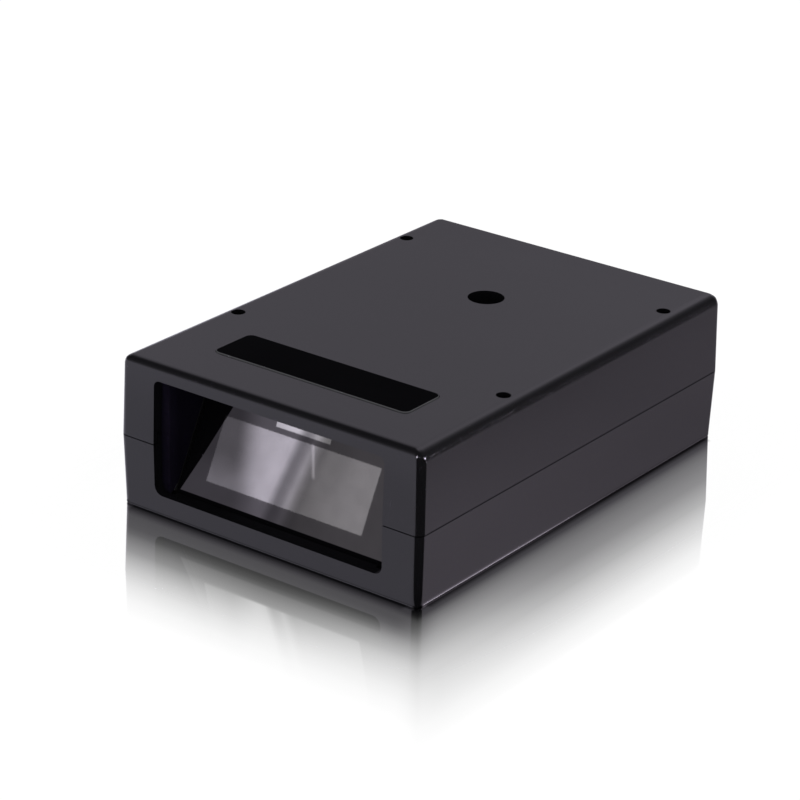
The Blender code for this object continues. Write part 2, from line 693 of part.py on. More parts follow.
def make_window_hood(plastic):
    """Two cheeks under one roof, with a flared mouth plate in front and a tilted seat for the pane behind."""
    mouth = WINDOW_WIDTH / 2 + HOOD_MARGIN
    low, high = HOOD_BASE - OVERSHOOT, HOOD_TOP + OVERSHOOT
    plate = box((-mouth, HOOD_FRONT - OVERSHOOT, low), (mouth, HOOD_FRONT + HOOD_WALL, high))
    hood = solid("window_hood", plate, finish=plastic)
    cheek = THROAT_HALF_WIDTH + HOOD_WALL
    front, rear = HOOD_FRONT + HOOD_WALL / 2, LIGHT_BOARD_FRONT
    join(hood, "cheeks", box((-cheek, front, low - OVERSHOOT), (cheek, rear, high + OVERSHOOT)))
    seat_back = -(TAPE_THICKNESS + 2 * BOND_GAP)
    flange_front, flange_back = seat_back - HOOD_WALL, seat_back + HOOD_WALL / 2
    side = PANE_WIDTH / 2 + HOOD_WALL / 2
    bottom, top = low - 2 * OVERSHOOT, high + 2 * OVERSHOOT
    flange = [
        (pane_y(bottom, flange_front), bottom),
        (pane_y(bottom, flange_back), bottom),
        (pane_y(top, flange_back), top),
        (pane_y(top, flange_front), top),
    ]
    join(hood, "pane_seat", extruded(flange, -side, side, "X"))
    envelope = box((-CASE_WIDTH / 2, HOOD_FRONT, HOOD_BASE), (CASE_WIDTH / 2, 0.0, HOOD_TOP))
    reshape(hood, solid("hood_envelope", envelope), "INTERSECT")
    behind = [
        (pane_y(bottom, seat_back), bottom),
        (0.0, bottom),
        (0.0, top),
        (pane_y(top, seat_back), top),
    ]
    cut(hood, "behind_seat", extruded(behind, -CASE_WIDTH, CASE_WIDTH, "X"))
    cut(hood, "passage", passage(bottom - OVERSHOOT, RECESS_CEILING))


def tilt_empty():
    """A guide at the foot of the pane, tilted with it: its Z runs up the pane, its Y to the rear."""
    guide = bpy.data.objects.new("pane_tilt", None)
    guide.location = (0.0, PANE_FOOT_Y, WINDOW_SILL)
    guide.rotation_euler = (-PANE_TILT, 0.0, 0.0)
    bpy.context.scene.collection.objects.link(guide)
    return guide


def make_pane_and_tape(glass, adhesive):
    """The pane, and the strip of tape round its sides and top that bonds it to the hood."""
    guide = tilt_empty()
    half = PANE_WIDTH / 2
    pane = solid(
        "window_pane", box((-half, 0.0, -PANE_SKIRT), (half, PANE_THICKNESS, PANE_LENGTH)), finish=glass
    )
    pane.parent = guide
    outer = half - BOND_GAP
    inner = outer - TAPE_STRIP
    top = PANE_LENGTH - REST_GAP
    outline = [
        (-outer, 0.0),
        (-inner, 0.0),
        (-inner, top - TAPE_STRIP / 2),
        (inner, top - TAPE_STRIP / 2),
        (inner, 0.0),
        (outer, 0.0),
        (outer, top),
        (-outer, top),
    ]
    strip = extruded(outline, -BOND_GAP - TAPE_THICKNESS, -BOND_GAP, "Y")
    tape = solid("window_tape", strip, finish=adhesive)
    tape.parent = guide


def make_label(plastic):
    """The glossy plate in the roof's shallow recess, its top edge chamfered."""
    top = CASE_HEIGHT + LABEL_PROUD
    chamfer = LABEL_PROUD / 2
    levels = ((top - LABEL_THICKNESS, 0.0), (top - chamfer, 0.0), (top, -chamfer))
    rings = [[(x, y, height) for x, y in label_outline(grow)] for height, grow in levels]
    solid("label_plate", loft(rings), finish=plastic)


def make_inserts(brass):
    """Long brass inserts with a grip groove, one in each column."""
    radius = INSERT_DIAMETER / 2
    waist = radius - INSERT_GROOVE_DEPTH
    step = (INSERT_TOP - INSERT_BASE) / 7
    levels = [(radius, 0), (radius, 3), (waist, 3.3), (waist, 3.7), (radius, 4), (radius, 7)]
    profile = [(size, INSERT_BASE + count * step) for size, count in levels]
    profile += [(INSERT_BORE / 2, INSERT_TOP), (INSERT_BORE / 2, INSERT_BASE)]
    insert = turned(profile, (0.0, 0.0), sides=SCREW_SIDES, closed=True)
    first = None
    for place, (x, y) in COLUMNS.items():
        if first is None:
            first = solid(f"threaded_insert_{place}", insert, finish=brass, smooth=True)
            first.location = (x, y, 0.0)
        else:
            copy_of(first, f"threaded_insert_{place}", (x, y, 0.0))


def screw_parts(head, head_height, shank, length):
    """A pan-head screw standing on its head's underside at the origin, shank down, and its cross recess."""
    profile = [
        (shank / 2, -length),
        (shank / 2, 0.0),
        (head / 2, 0.0),
        (head / 2, head_height * HEAD_RIM),
        (head * CROWN_RADIUS, head_height),
    ]
    arm = head * CROSS_REACH
    web = head * CROSS_HALF_WEB
    bottom = head_height * CROSS_FLOOR
    cross = [
        (arm, -web), (arm, web), (web, web), (web, arm), (-web, arm), (-web, web),
        (-arm, web), (-arm, -web), (-web, -web), (-web, -arm), (web, -arm), (web, -web),
    ]
    recess = extruded(cross, bottom, head_height + OVERSHOOT)
    return turned(profile, (0.0, 0.0), sides=SCREW_SIDES), recess


def make_screws(prefix, places, sizes, finish, turn=Matrix.Identity(4)):
    """Like screws at named places, all turned the same way; the recess is cut once into the shared mesh."""
    body, recess = screw_parts(*sizes)
    for place, at in places.items():
        screw = solid(f"{prefix}_{place}", body, finish=finish, smooth=True)
        cutter = solid(f"{prefix}_{place}_recess", recess)
        cutter.parent = screw
        screw.matrix_world = Matrix.Translation(at) @ turn
        reshape(screw, cutter, "DIFFERENCE")


def make_case_screws(steel):
    """From the underside up into the inserts; the heads bear on the counterbores' shoulders."""
    seat = COUNTERBORE_DEPTH - BOND_GAP
    length = INSERT_TOP - CASE_SCREW_TIP_GAP - seat
    places = {name: Vector((x, y, seat)) for name, (x, y) in COLUMNS.items()}
    sizes = (CASE_SCREW_HEAD_DIAMETER, CASE_SCREW_HEAD_HEIGHT, CASE_SCREW_SHANK, length)
    make_screws("case_screw", places, sizes, steel, Matrix.Rotation(math.pi, 4, "X"))


def make_engine_body(metal):
    """Chassis with a bore for the lens barrel, a pocket for the sensor and a lug at each side."""
    half = ENGINE_WIDTH / 2
    body = solid(
        "scan_engine_body",
        box((-half, ENGINE_FRONT, ENGINE_BASE), (half, ENGINE_REAR, ENGINE_BASE + ENGINE_HEIGHT)),
        finish=metal,
    )
    round_edges(body, lambda start, end: ENGINE_EDGE, 1)
    reach = LUG_X + LUG_LENGTH / 2
    lug_low = (-reach, LUG_Y - LUG_DEPTH / 2, ENGINE_BASE)
    lug_high = (reach, LUG_Y + LUG_DEPTH / 2, ENGINE_BASE + LUG_THICKNESS)
    join(body, "engine_lugs", box(lug_low, lug_high))
    axis = (0.0, AXIS_HEIGHT)
    bore = BARREL_DIAMETER + 2 * BOND_GAP
    bore_front, bore_rear = ENGINE_FRONT - OVERSHOOT, ENGINE_REAR - OVERSHOOT
    cut(body, "barrel_bore", rod(axis, bore, bore_front, bore_rear, "Y", FINE_SIDES))
    pocket_low = (-SENSOR_POCKET_WIDTH / 2, ENGINE_REAR - SENSOR_POCKET_DEPTH)
    pocket_high = (SENSOR_POCKET_WIDTH / 2, ENGINE_REAR + OVERSHOOT)
    bottom, top = AXIS_HEIGHT - SENSOR_POCKET_HEIGHT / 2, AXIS_HEIGHT + SENSOR_POCKET_HEIGHT / 2
    cut(body, "sensor_pocket", box((*pocket_low, bottom), (*pocket_high, top)))
    hole = SCREW_SHANK + 2 * SCREW_HOLE_CLEARANCE
    lug_holes = [rod((side * LUG_X, LUG_Y), hole, 0.0, AXIS_HEIGHT) for side in (-1, 1)]
    cut(body, "lug_holes", *lug_holes)
    pilot = TINY_SHANK + 2 * BOND_GAP
    depth = TINY_LENGTH - SMALL_BOARD_THICKNESS
    front = [
        rod(at, pilot, ENGINE_FRONT - OVERSHOOT, ENGINE_FRONT + depth, "Y") for at in light_screw_places()
    ]
    rear = [
        rod(at, pilot, ENGINE_REAR - depth, ENGINE_REAR + OVERSHOOT, "Y") for at in sensor_screw_places()
    ]
    cut(body, "board_pilots", *front, *rear)


def light_screw_places():
    """The illumination board's screws, as (X, Z), in the engine body's lower corners."""
    x = ENGINE_WIDTH / 2 - TINY_EDGE_STEP
    z = ENGINE_BASE + TINY_EDGE_STEP
    return [(-x, z), (x, z)]


def sensor_screw_places():
    """The sensor board's screws, as (X, Z), level with the optical axis."""
    x = SENSOR_BOARD_WIDTH / 2 - TINY_EDGE_STEP
    return [(-x, AXIS_HEIGHT), (x, AXIS_HEIGHT)]


def make_lens(barrel_finish, glass):
    """The barrel with its front flange, and the lens in its front pocket."""
    axis = (0.0, AXIS_HEIGHT)
    flange, body, bore = BARREL_FLANGE_DIAMETER / 2, BARREL_DIAMETER / 2, BARREL_BORE / 2
    pocket = LENS_DIAMETER / 2 + BOND_GAP
    floor = BARREL_FRONT + LENS_THICKNESS + 3 * BOND_GAP
    collar = BARREL_FRONT + BARREL_FLANGE_LENGTH
    tail = BARREL_FRONT + BARREL_LENGTH
    profile = [
        (pocket, BARREL_FRONT), (flange - BOND_GAP, BARREL_FRONT), (flange, BARREL_FRONT + BOND_GAP),
        (flange, collar), (body, collar), (body, tail), (bore, tail), (bore, floor), (pocket, floor),
    ]
    barrel = turned(profile, axis, "Y", FINE_SIDES, closed=True)
    solid("lens_barrel", barrel, finish=barrel_finish, smooth=True)
    edge = LENS_DIAMETER / 2
    back = floor - BOND_GAP
    front = back - LENS_THICKNESS
    bulge = LENS_THICKNESS * 0.55
    dome = [(edge * math.cos(turn), front + bulge * (1 - math.sin(turn))) for turn in dome_turns()]
    solid("objective_lens", turned([(edge, back), *dome], axis, "Y", FINE_SIDES), finish=glass, smooth=True)


def dome_turns(steps=3):
    """Angles from a dome's rim nearly to its crown, which stays a small flat."""
    return [index / steps * math.radians(85) for index in range(steps + 1)]


def make_illumination(board_finish, led_finish, guide_finish, steel):
    """The light board round the barrel with its lamps, the indicator lamp and its light guide."""
    half = ENGINE_WIDTH / 2
    bottom = FLOOR + BOARD_EDGE_CLEARANCE
    board = solid(
        "illumination_board",
        box((-half, LIGHT_BOARD_FRONT, bottom), (half, LIGHT_BOARD_REAR, ILLUMINATION_BOARD_TOP)),
        finish=board_finish,
    )
    through = (LIGHT_BOARD_FRONT - OVERSHOOT, LIGHT_BOARD_REAR + OVERSHOOT, "Y")
    opening = BARREL_FLANGE_DIAMETER + 2 * REST_GAP
    cut(board, "barrel_opening", rod((0.0, AXIS_HEIGHT), opening, *through, FINE_SIDES))
    hole = TINY_SHANK + 2 * SCREW_HOLE_CLEARANCE
    cut(board, "light_board_holes", *[rod(at, hole, *through) for at in light_screw_places()])
    offsets = {
        "outer_left": -LED_OUTER_X,
        "inner_left": -LED_INNER_X,
        "inner_right": LED_INNER_X,
        "outer_right": LED_OUTER_X,
    }
    seat = LIGHT_BOARD_FRONT - BOND_GAP
    front = seat - LED_BASE
    for place, x in offsets.items():
        low = (x - LED_WIDTH / 2, front, AXIS_HEIGHT - LED_HEIGHT / 2)
        high = (x + LED_WIDTH / 2, seat, AXIS_HEIGHT + LED_HEIGHT / 2)
        led = solid(f"illumination_led_{place}", box(low, high), finish=led_finish)
        dome = [(LED_DOME * math.cos(turn), front - LED_DOME * math.sin(turn)) for turn in dome_turns()]
        root = (LED_DOME, front + LED_BASE / 2)
        join(led, f"led_dome_{place}", turned([root, *dome], (x, AXIS_HEIGHT), "Y", DOME_SIDES))
    half_height = INDICATOR_LED_HEIGHT / 2
    low = (-INDICATOR_LED_WIDTH / 2, seat - INDICATOR_LED_DEPTH, INDICATOR_HEIGHT - half_height)
    high = (INDICATOR_LED_WIDTH / 2, seat, INDICATOR_HEIGHT + half_height)
    solid("indicator_led", box(low, high), finish=led_finish)
    make_light_guide(guide_finish, low, high)
    quarter = Matrix.Rotation(math.pi / 2, 4, "X")
    places = {
        side: Vector((x, LIGHT_BOARD_FRONT - BOND_GAP, z))
        for side, (x, z) in zip(("left", "right"), light_screw_places())
    }
    sizes = (TINY_HEAD_DIAMETER, TINY_HEAD_HEIGHT, TINY_SHANK, TINY_LENGTH)
    make_screws("illumination_board_screw", places, sizes, steel, quarter)


def make_light_guide(finish, lamp_low, lamp_high):
    """A clear bar behind the slot: its front face lies along the pane and its back fits over the lamp."""
    low, high = INDICATOR_HEIGHT - GUIDE_HEIGHT / 2, INDICATOR_HEIGHT + GUIDE_HEIGHT / 2
    back = LIGHT_BOARD_FRONT - REST_GAP
    gap = PANE_THICKNESS + REST_GAP
    outline = [(back, low), (back, high), (pane_y(high, gap), high), (pane_y(low, gap), low)]
    guide = solid("light_guide", extruded(outline, -GUIDE_WIDTH / 2, GUIDE_WIDTH / 2, "X"), finish=finish)
    room = Vector((GUIDE_POCKET_CLEARANCE,) * 3)
    pocket_high = Vector((lamp_high[0], back + OVERSHOOT, lamp_high[2]))
    cut(guide, "lamp_pocket", box(Vector(lamp_low) - room, pocket_high + room))


def make_sensor(board_finish, sensor_finish, steel):
    """The board behind the engine with the image sensor on its front."""
    half = SENSOR_BOARD_WIDTH / 2
    low, high = ENGINE_BASE + SENSOR_BOARD_DROP, ENGINE_BASE + ENGINE_HEIGHT - SENSOR_BOARD_DROP
    board = solid(
        "sensor_board",
        box((-half, SENSOR_BOARD_FRONT, low), (half, SENSOR_BOARD_REAR, high)),
        finish=board_finish,
    )
    through = (SENSOR_BOARD_FRONT - OVERSHOOT, SENSOR_BOARD_REAR + OVERSHOOT, "Y")
    hole = TINY_SHANK + 2 * SCREW_HOLE_CLEARANCE
    cut(board, "sensor_board_holes", *[rod(at, hole, *through) for at in sensor_screw_places()])
    back = SENSOR_BOARD_FRONT - BOND_GAP
    chip_low = (-SENSOR_WIDTH / 2, back - SENSOR_THICKNESS, AXIS_HEIGHT - SENSOR_HEIGHT / 2)
    chip_high = (SENSOR_WIDTH / 2, back, AXIS_HEIGHT + SENSOR_HEIGHT / 2)
    chip = solid("image_sensor", box(chip_low, chip_high), finish=sensor_finish)
    frame = SENSOR_HEIGHT / 8
    pane_low = (chip_low[0] + frame, chip_low[1] - OVERSHOOT, chip_low[2] + frame)
    pane_high = (chip_high[0] - frame, chip_low[1] + SENSOR_THICKNESS / 5, chip_high[2] - frame)
    cut(chip, "sensor_window", box(pane_low, pane_high))
    quarter = Matrix.Rotation(-math.pi / 2, 4, "X")
    places = {
        side: Vector((x, SENSOR_BOARD_REAR + BOND_GAP, z))
        for side, (x, z) in zip(("left", "right"), sensor_screw_places())
    }
    sizes = (TINY_HEAD_DIAMETER, TINY_HEAD_HEIGHT, TINY_SHANK, TINY_LENGTH)
    make_screws("sensor_board_screw", places, sizes, steel, quarter)


def make_main_board(board_finish, steel):
    """The main board on its four posts, notched round the rear columns."""
    half = MAIN_BOARD_WIDTH / 2
    board = solid(
        "main_board",
        box((-half, MAIN_BOARD_FRONT, MAIN_BOARD_HEIGHT), (half, MAIN_BOARD_REAR, MAIN_BOARD_TOP)),
        finish=board_finish,
    )
    below, above = MAIN_BOARD_HEIGHT - OVERSHOOT, MAIN_BOARD_TOP + OVERSHOOT
    notch = COLUMN_DIAMETER + 2 * COLUMN_NOTCH_CLEARANCE
    rear = [COLUMNS["rear_left"], COLUMNS["rear_right"]]
    cut(board, "column_notches", *[rod(at, notch, below, above) for at in rear])
    hole = SCREW_SHANK + 2 * SCREW_HOLE_CLEARANCE
    cut(board, "board_holes", *[rod(at, hole, below, above) for at in BOARD_SCREWS.values()])
    sizes = (SCREW_HEAD_DIAMETER, SCREW_HEAD_HEIGHT, SCREW_SHANK, SCREW_LENGTH)
    board_places = {name: Vector((x, y, PART_SEAT)) for name, (x, y) in BOARD_SCREWS.items()}
    make_screws("main_board_screw", board_places, sizes, steel)
    engine_seat = ENGINE_BASE + LUG_THICKNESS + BOND_GAP
    engine_places = {
        "left": Vector((-LUG_X, LUG_Y, engine_seat)),
        "right": Vector((LUG_X, LUG_Y, engine_seat)),
    }
    make_screws("engine_screw", engine_places, sizes, steel)


def make_beeper(plastic):
    """A round beeper on the board, right under the sound tube, with its port in the top."""
    top = PART_SEAT + BEEPER_HEIGHT
    radius = BEEPER_DIAMETER / 2
    profile = [
        (radius, PART_SEAT),
        (radius, top - BEEPER_RIM),
        (radius - BEEPER_RIM / 2, top),
    ]
    place = SOUND_HOLE_CENTRE
    beeper = solid("beeper", turned(profile, place, sides=FINE_SIDES), finish=plastic, smooth=True)
    cut(beeper, "beeper_port", rod(place, BEEPER_PORT, top - BEEPER_PORT_DEPTH, top + OVERSHOOT))


def row_places(row):
    """Where the parts of a row stand in Y: spread evenly between the front and the rear board screws."""
    reach = SCREW_HEAD_DIAMETER / 2 + ROW_GAP_TO_SCREW
    start, end = BOARD_SCREW_FRONT_Y + reach, BOARD_SCREW_REAR_Y - reach
    gap = (end - start - sum(depth for width, depth, height in row.values())) / (len(row) - 1)
    places = {}
    front = start
    for name, (width, depth, height) in row.items():
        places[name] = front + depth / 2
        front += depth + gap
    return places


def make_chips(black, can, core):
    """The parts soldered on the main board, in one row on each side of the beeper."""
    finishes = {"clock_crystal": can, "power_inductor": core}
    for side, row in ((-1, LEFT_ROW), (1, RIGHT_ROW)):
        x = SOUND_HOLE_SIDE_OFFSET / 2 + side * (BEEPER_DIAMETER + MAIN_BOARD_WIDTH) / 4
        for name, y in row_places(row).items():
            width, depth, height = row[name]
            if name == "power_capacitor":
                make_capacitor((x, y), can)
                continue
            low = (x - width / 2, y - depth / 2, PART_SEAT)
            high = (x + width / 2, y + depth / 2, PART_SEAT + height)
            chip = solid(name, box(low, high), finish=finishes.get(name, black))
            round_edges(chip, lambda start, end: CHIP_EDGE, 1)


def make_capacitor(centre, can):
    """A round can capacitor on its wider base."""
    radius, top = CAPACITOR_DIAMETER / 2, PART_SEAT + CAPACITOR_HEIGHT
    neck = PART_SEAT + CAPACITOR_BASE
    profile = [
        (radius, PART_SEAT),
        (radius, neck),
        (radius - BOND_GAP, neck + BOND_GAP),
        (radius - BOND_GAP, top - BOND_GAP),
        (radius - 3 * BOND_GAP, top),
    ]
    solid("power_capacitor", turned(profile, centre), finish=can, smooth=True)


def ribbon(name, path, width, offset, finish):
    """A flat cable that follows a path in the YZ plane, with square ends."""
    outline_up = []
    outline_down = []
    for index, point in enumerate(path):
        before = path[max(index - 1, 0)]
        after = path[min(index + 1, len(path) - 1)]
        run = Vector((after[0] - before[0], after[1] - before[1])).normalized()
        half = Vector((-run.y, run.x)) * CABLE_THICKNESS / 2
        outline_up.append((point[0] + half.x, point[1] + half.y))
        outline_down.append((point[0] - half.x, point[1] - half.y))
    outline = outline_up + outline_down[::-1]
    return solid(name, extruded(outline, offset - width / 2, offset + width / 2, "X"), finish=finish)


def arc(centre, radius, start, end, steps=6):
    """Points of an arc in degrees, for a cable's bend."""
    turns = [math.radians(start + (end - start) * index / steps) for index in range(steps + 1)]
    return [(centre[0] + radius * math.cos(turn), centre[1] + radius * math.sin(turn)) for turn in turns]


def make_engine_cable(ivory, amber):
    """The flat cable from the sensor board down to the main board, in its two connectors."""
    half = CONNECTOR_WIDTH / 2
    slot = CABLE_WIDTH / 2 + BOND_GAP
    upper_y = SENSOR_BOARD_REAR + BOND_GAP
    upper_base = AXIS_HEIGHT + CONNECTOR_RISE
    upper = solid(
        "engine_flex_connector",
        box((-half, upper_y, upper_base), (half, upper_y + CONNECTOR_HEIGHT, upper_base + CONNECTOR_DEPTH)),
        finish=ivory,
    )
    cable_y = upper_y + CONNECTOR_HEIGHT / 2
    slot_low = (-slot, cable_y - CABLE_SLOT / 2, upper_base - OVERSHOOT)
    slot_high = (slot, cable_y + CABLE_SLOT / 2, upper_base + CABLE_INSERTION + REST_GAP)
    cut(upper, "upper_cable_slot", box(slot_low, slot_high))
    lower_y = MAIN_BOARD_FRONT + CONNECTOR_STEP
    lower = solid(
        "board_flex_connector",
        box((-half, lower_y, PART_SEAT), (half, lower_y + CONNECTOR_DEPTH, PART_SEAT + CONNECTOR_HEIGHT)),
        finish=ivory,
    )
    cable_z = PART_SEAT + CONNECTOR_HEIGHT / 2
    slot_low = (-slot, lower_y - OVERSHOOT, cable_z - CABLE_SLOT / 2)
    slot_high = (slot, lower_y + CABLE_INSERTION + REST_GAP, cable_z + CABLE_SLOT / 2)
    cut(lower, "lower_cable_slot", box(slot_low, slot_high))
    path = [(cable_y, upper_base + CABLE_INSERTION)]
    path += arc((cable_y + CABLE_BEND, cable_z + CABLE_BEND), CABLE_BEND, 180, 270)
    path.append((lower_y + CABLE_INSERTION, cable_z))
    ribbon("engine_flex", path, CABLE_WIDTH, 0.0, amber)


def make_light_cable(amber):
    """The flat cable that feeds the light board, under the engine to the main board's underside."""
    front = LIGHT_BOARD_FRONT - BOND_GAP - CABLE_THICKNESS / 2
    bend = LIGHT_CABLE_DROP
    low = ENGINE_BASE - LIGHT_CABLE_DROP
    end_z = MAIN_BOARD_HEIGHT - BOND_GAP - CABLE_THICKNESS / 2
    rise_start = SENSOR_BOARD_REAR
    rise_end = MAIN_BOARD_FRONT + CONNECTOR_STEP
    path = [(front, low + bend * 2)]
    path += arc((front + bend, low + bend), bend, 180, 270)
    for index in range(9):
        share = index / 8
        climb = (1 - math.cos(math.pi * share)) / 2
        path.append((rise_start + (rise_end - rise_start) * share, low + (end_z - low) * climb))
    path.append((rise_end + CONNECTOR_STEP, end_z))
    ribbon("illumination_flex", path, LIGHT_CABLE_WIDTH, ENGINE_WIDTH / 2 - LIGHT_CABLE_INSET, amber)


def make_socket(plastic, gold):
    """The modular socket in the rear wall, with its latch channel and a row of spring contacts."""
    half = SOCKET_WIDTH / 2
    body = solid(
        "cable_socket_body",
        box((-half, SOCKET_FRONT, PART_SEAT), (half, SOCKET_REAR, SOCKET_TOP)),
        finish=plastic,
    )
    wide, latch, key = PLUG_WIDTH / 2, LATCH_WIDTH / 2, LATCH_KEY_WIDTH / 2
    latch_top = PLUG_TOP + LATCH_HEIGHT
    key_top = latch_top + LATCH_KEY_HEIGHT
    outline = [
        (-wide, PLUG_BASE),
        (wide, PLUG_BASE),
        (wide, PLUG_TOP),
        (latch, PLUG_TOP),
        (latch, latch_top),
        (key, latch_top),
        (key, key_top),
        (-key, key_top),
        (-key, latch_top),
        (-latch, latch_top),
        (-latch, PLUG_TOP),
        (-wide, PLUG_TOP),
    ]
    cut(body, "plug_room", extruded(outline, SOCKET_REAR - PLUG_DEPTH, SOCKET_REAR + OVERSHOOT, "Y"))
    foot_y = SOCKET_REAR - CONTACT_FRONT_STEP
    places = [(index - (CONTACT_COUNT - 1) / 2) * CONTACT_PITCH for index in range(CONTACT_COUNT)]
    reach = CONTACT_HOLE / 2
    below, above = PART_SEAT - OVERSHOOT, PLUG_BASE + OVERSHOOT
    holes = [box((x - reach, foot_y - reach, below), (x + reach, foot_y + reach, above)) for x in places]
    cut(body, "contact_holes", *holes)
    low = PART_SEAT
    knee = PLUG_BASE + CONTACT_THICKNESS
    thick = CONTACT_THICKNESS
    run = CONTACT_LENGTH - thick
    profile = [
        (foot_y + thick / 2, low),
        (foot_y + thick / 2, knee),
        (foot_y - run, knee + CONTACT_RISE + thick / 2),
        (foot_y - run, knee + CONTACT_RISE - thick / 2),
        (foot_y - thick / 2, knee - thick),
        (foot_y - thick / 2, low),
    ]
    for index, x in enumerate(places):
        contact = extruded(profile, x - thick / 2, x + thick / 2, "X")
        solid(f"socket_contact_{index + 1}", contact, finish=gold)


def main():
    """Build every piece of the reader."""
    clear_scene()
    case_plastic = make_material("case_plastic", (0.005, 0.005, 0.006), 0.18)
    hood_plastic = make_material("hood_plastic", (0.002, 0.002, 0.002), 0.68)
    pane_glass = make_material("pane_glass", (0.10, 0.10, 0.11), 0.05)
    adhesive = make_material("adhesive_tape", (0.01, 0.01, 0.01), 0.85)
    label_gloss = make_material("label_gloss", (0.001, 0.001, 0.001), 0.13)
    brass = make_material("brass", (0.59, 0.42, 0.17), 0.35, 1.0)
    steel = make_material("screw_steel", (0.49, 0.49, 0.51), 0.34, 1.0)
    engine_metal = make_material("engine_zinc", (0.025, 0.025, 0.027), 0.46, 0.6)
    barrel_black = make_material("barrel_anodised", (0.014, 0.014, 0.015), 0.31, 0.8)
    lens_glass = make_material("lens_glass", (0.35, 0.38, 0.45), 0.02)
    board_green = make_material("board_green", (0.009, 0.058, 0.023), 0.36)
    sensor_ceramic = make_material("sensor_ceramic", (0.115, 0.115, 0.125), 0.3)
    led_resin = make_material("led_resin", (0.71, 0.67, 0.43), 0.2)
    guide_acrylic = make_material("guide_acrylic", (0.73, 0.75, 0.77), 0.38)
    chip_epoxy = make_material("chip_epoxy", (0.022, 0.022, 0.023), 0.55)
    can_metal = make_material("can_metal", (0.59, 0.6, 0.62), 0.28, 1.0)
    ferrite = make_material("ferrite", (0.048, 0.046, 0.046), 0.68)
    beeper_plastic = make_material("beeper_plastic", (0.003, 0.003, 0.003), 0.62)
    connector_ivory = make_material("connector_ivory", (0.56, 0.52, 0.4), 0.46)
    flex_amber = make_material("flex_amber", (0.32, 0.14, 0.02), 0.3)
    socket_plastic = make_material("socket_plastic", (0.011, 0.011, 0.011), 0.39)
    contact_gold = make_material("contact_gold", (0.78, 0.53, 0.18), 0.22, 1.0)
    make_upper_shell(case_plastic)
    make_lower_shell(case_plastic)
    make_window_hood(hood_plastic)
    make_pane_and_tape(pane_glass, adhesive)
    make_label(label_gloss)
    make_inserts(brass)
    make_case_screws(steel)
    make_engine_body(engine_metal)
    make_lens(barrel_black, lens_glass)
    make_illumination(board_green, led_resin, guide_acrylic, steel)
    make_sensor(board_green, sensor_ceramic, steel)
    make_main_board(board_green, steel)
    make_beeper(beeper_plastic)
    make_chips(chip_epoxy, can_metal, ferrite)
    make_engine_cable(connector_ivory, flex_amber)
    make_light_cable(flex_amber)
    make_socket(socket_plastic, contact_gold)


main()
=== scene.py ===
import json
import math

import bpy
from mathutils import Matrix, Vector


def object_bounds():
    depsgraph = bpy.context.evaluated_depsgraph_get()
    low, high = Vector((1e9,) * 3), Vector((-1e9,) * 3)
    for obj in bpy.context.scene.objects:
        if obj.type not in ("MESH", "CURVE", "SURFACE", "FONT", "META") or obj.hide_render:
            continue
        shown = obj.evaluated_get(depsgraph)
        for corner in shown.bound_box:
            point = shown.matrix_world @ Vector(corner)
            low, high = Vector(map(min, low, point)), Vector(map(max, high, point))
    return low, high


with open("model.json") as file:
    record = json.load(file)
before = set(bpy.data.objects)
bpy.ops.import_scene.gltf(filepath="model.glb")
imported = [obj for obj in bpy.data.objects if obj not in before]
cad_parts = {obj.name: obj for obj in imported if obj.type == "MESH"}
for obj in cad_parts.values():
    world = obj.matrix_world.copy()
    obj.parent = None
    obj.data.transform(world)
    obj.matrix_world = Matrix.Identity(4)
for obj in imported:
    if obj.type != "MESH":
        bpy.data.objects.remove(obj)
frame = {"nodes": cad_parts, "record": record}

CAD_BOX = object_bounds()
NODES = frame["nodes"]

# Camera, fitted to the photograph
CAMERA_PLACE = Vector((0.218687, -0.303462, 0.172166))
CAMERA_AZIMUTH = math.radians(36.377)
CAMERA_ELEVATION = math.radians(23.422)
CAMERA_ROLL = math.radians(1.527)
CAMERA_LENS = 132.98
VIEW = Vector((math.sin(CAMERA_AZIMUTH) * math.cos(CAMERA_ELEVATION),
               -math.cos(CAMERA_AZIMUTH) * math.cos(CAMERA_ELEVATION),
               math.sin(CAMERA_ELEVATION)))

# The pane, as part.py places it: foot of its front face, and its tilt back
PANE_FOOT = Vector((0.0, -0.03284, 0.0030))
PANE_TILT = math.radians(26.5)
PANE_NORMAL = Vector((0.0, -math.cos(PANE_TILT), math.sin(PANE_TILT)))
# The clear window and the clear slot in its print: left, right, low, high, and the print's soft edge
CLEAR = (-0.0132, 0.0129, 0.0026, 0.0117)
SLOT = (-0.0049, 0.0042, 0.01243, 0.01345)
PRINT_EDGE = 0.00004
# Painted shade: the lowest part of the pane, in shadow at its foot, doesn't shine
FOOT_SHADOW = 0.00035

# The way that the photograph looks over the floor, and the height it gains on that way back
SIGHT_X, SIGHT_Y, SIGHT_RISE = 0.593, 0.805, 0.5475
# How much of the floor's picture is a mirror, by the height that it mirrors in mm: in front, and at the side
FADE_REACH = 0.022
FRONT_FADE = ((0.0, 1.0), (0.7, 0.995), (1.5, 0.96), (3.3, 0.945), (4.2, 0.91), (5.0, 0.85), (7.0, 0.72),
              (8.0, 0.60), (10.0, 0.39), (12.0, 0.21), (14.0, 0.085), (16.5, 0.0))
SIDE_FADE = ((0.0, 1.0), (1.0, 0.99), (2.0, 0.915), (3.0, 0.87), (5.0, 0.81), (6.5, 0.77), (8.0, 0.685),
             (10.0, 0.57), (12.0, 0.42), (14.0, 0.295), (16.5, 0.13), (19.0, 0.03), (21.0, 0.0))
# The mirror is paler at the near corner: from and to which distance and by how much, and from which height on
FRONT_PALE, FRONT_PALE_HEIGHT = (-0.005, 0.026, 0.42, 0.0), (0.002, 0.009)
SIDE_PALE, SIDE_PALE_HEIGHT = (-0.005, 0.036, 0.44, 0.0), (0.0, 0.010)
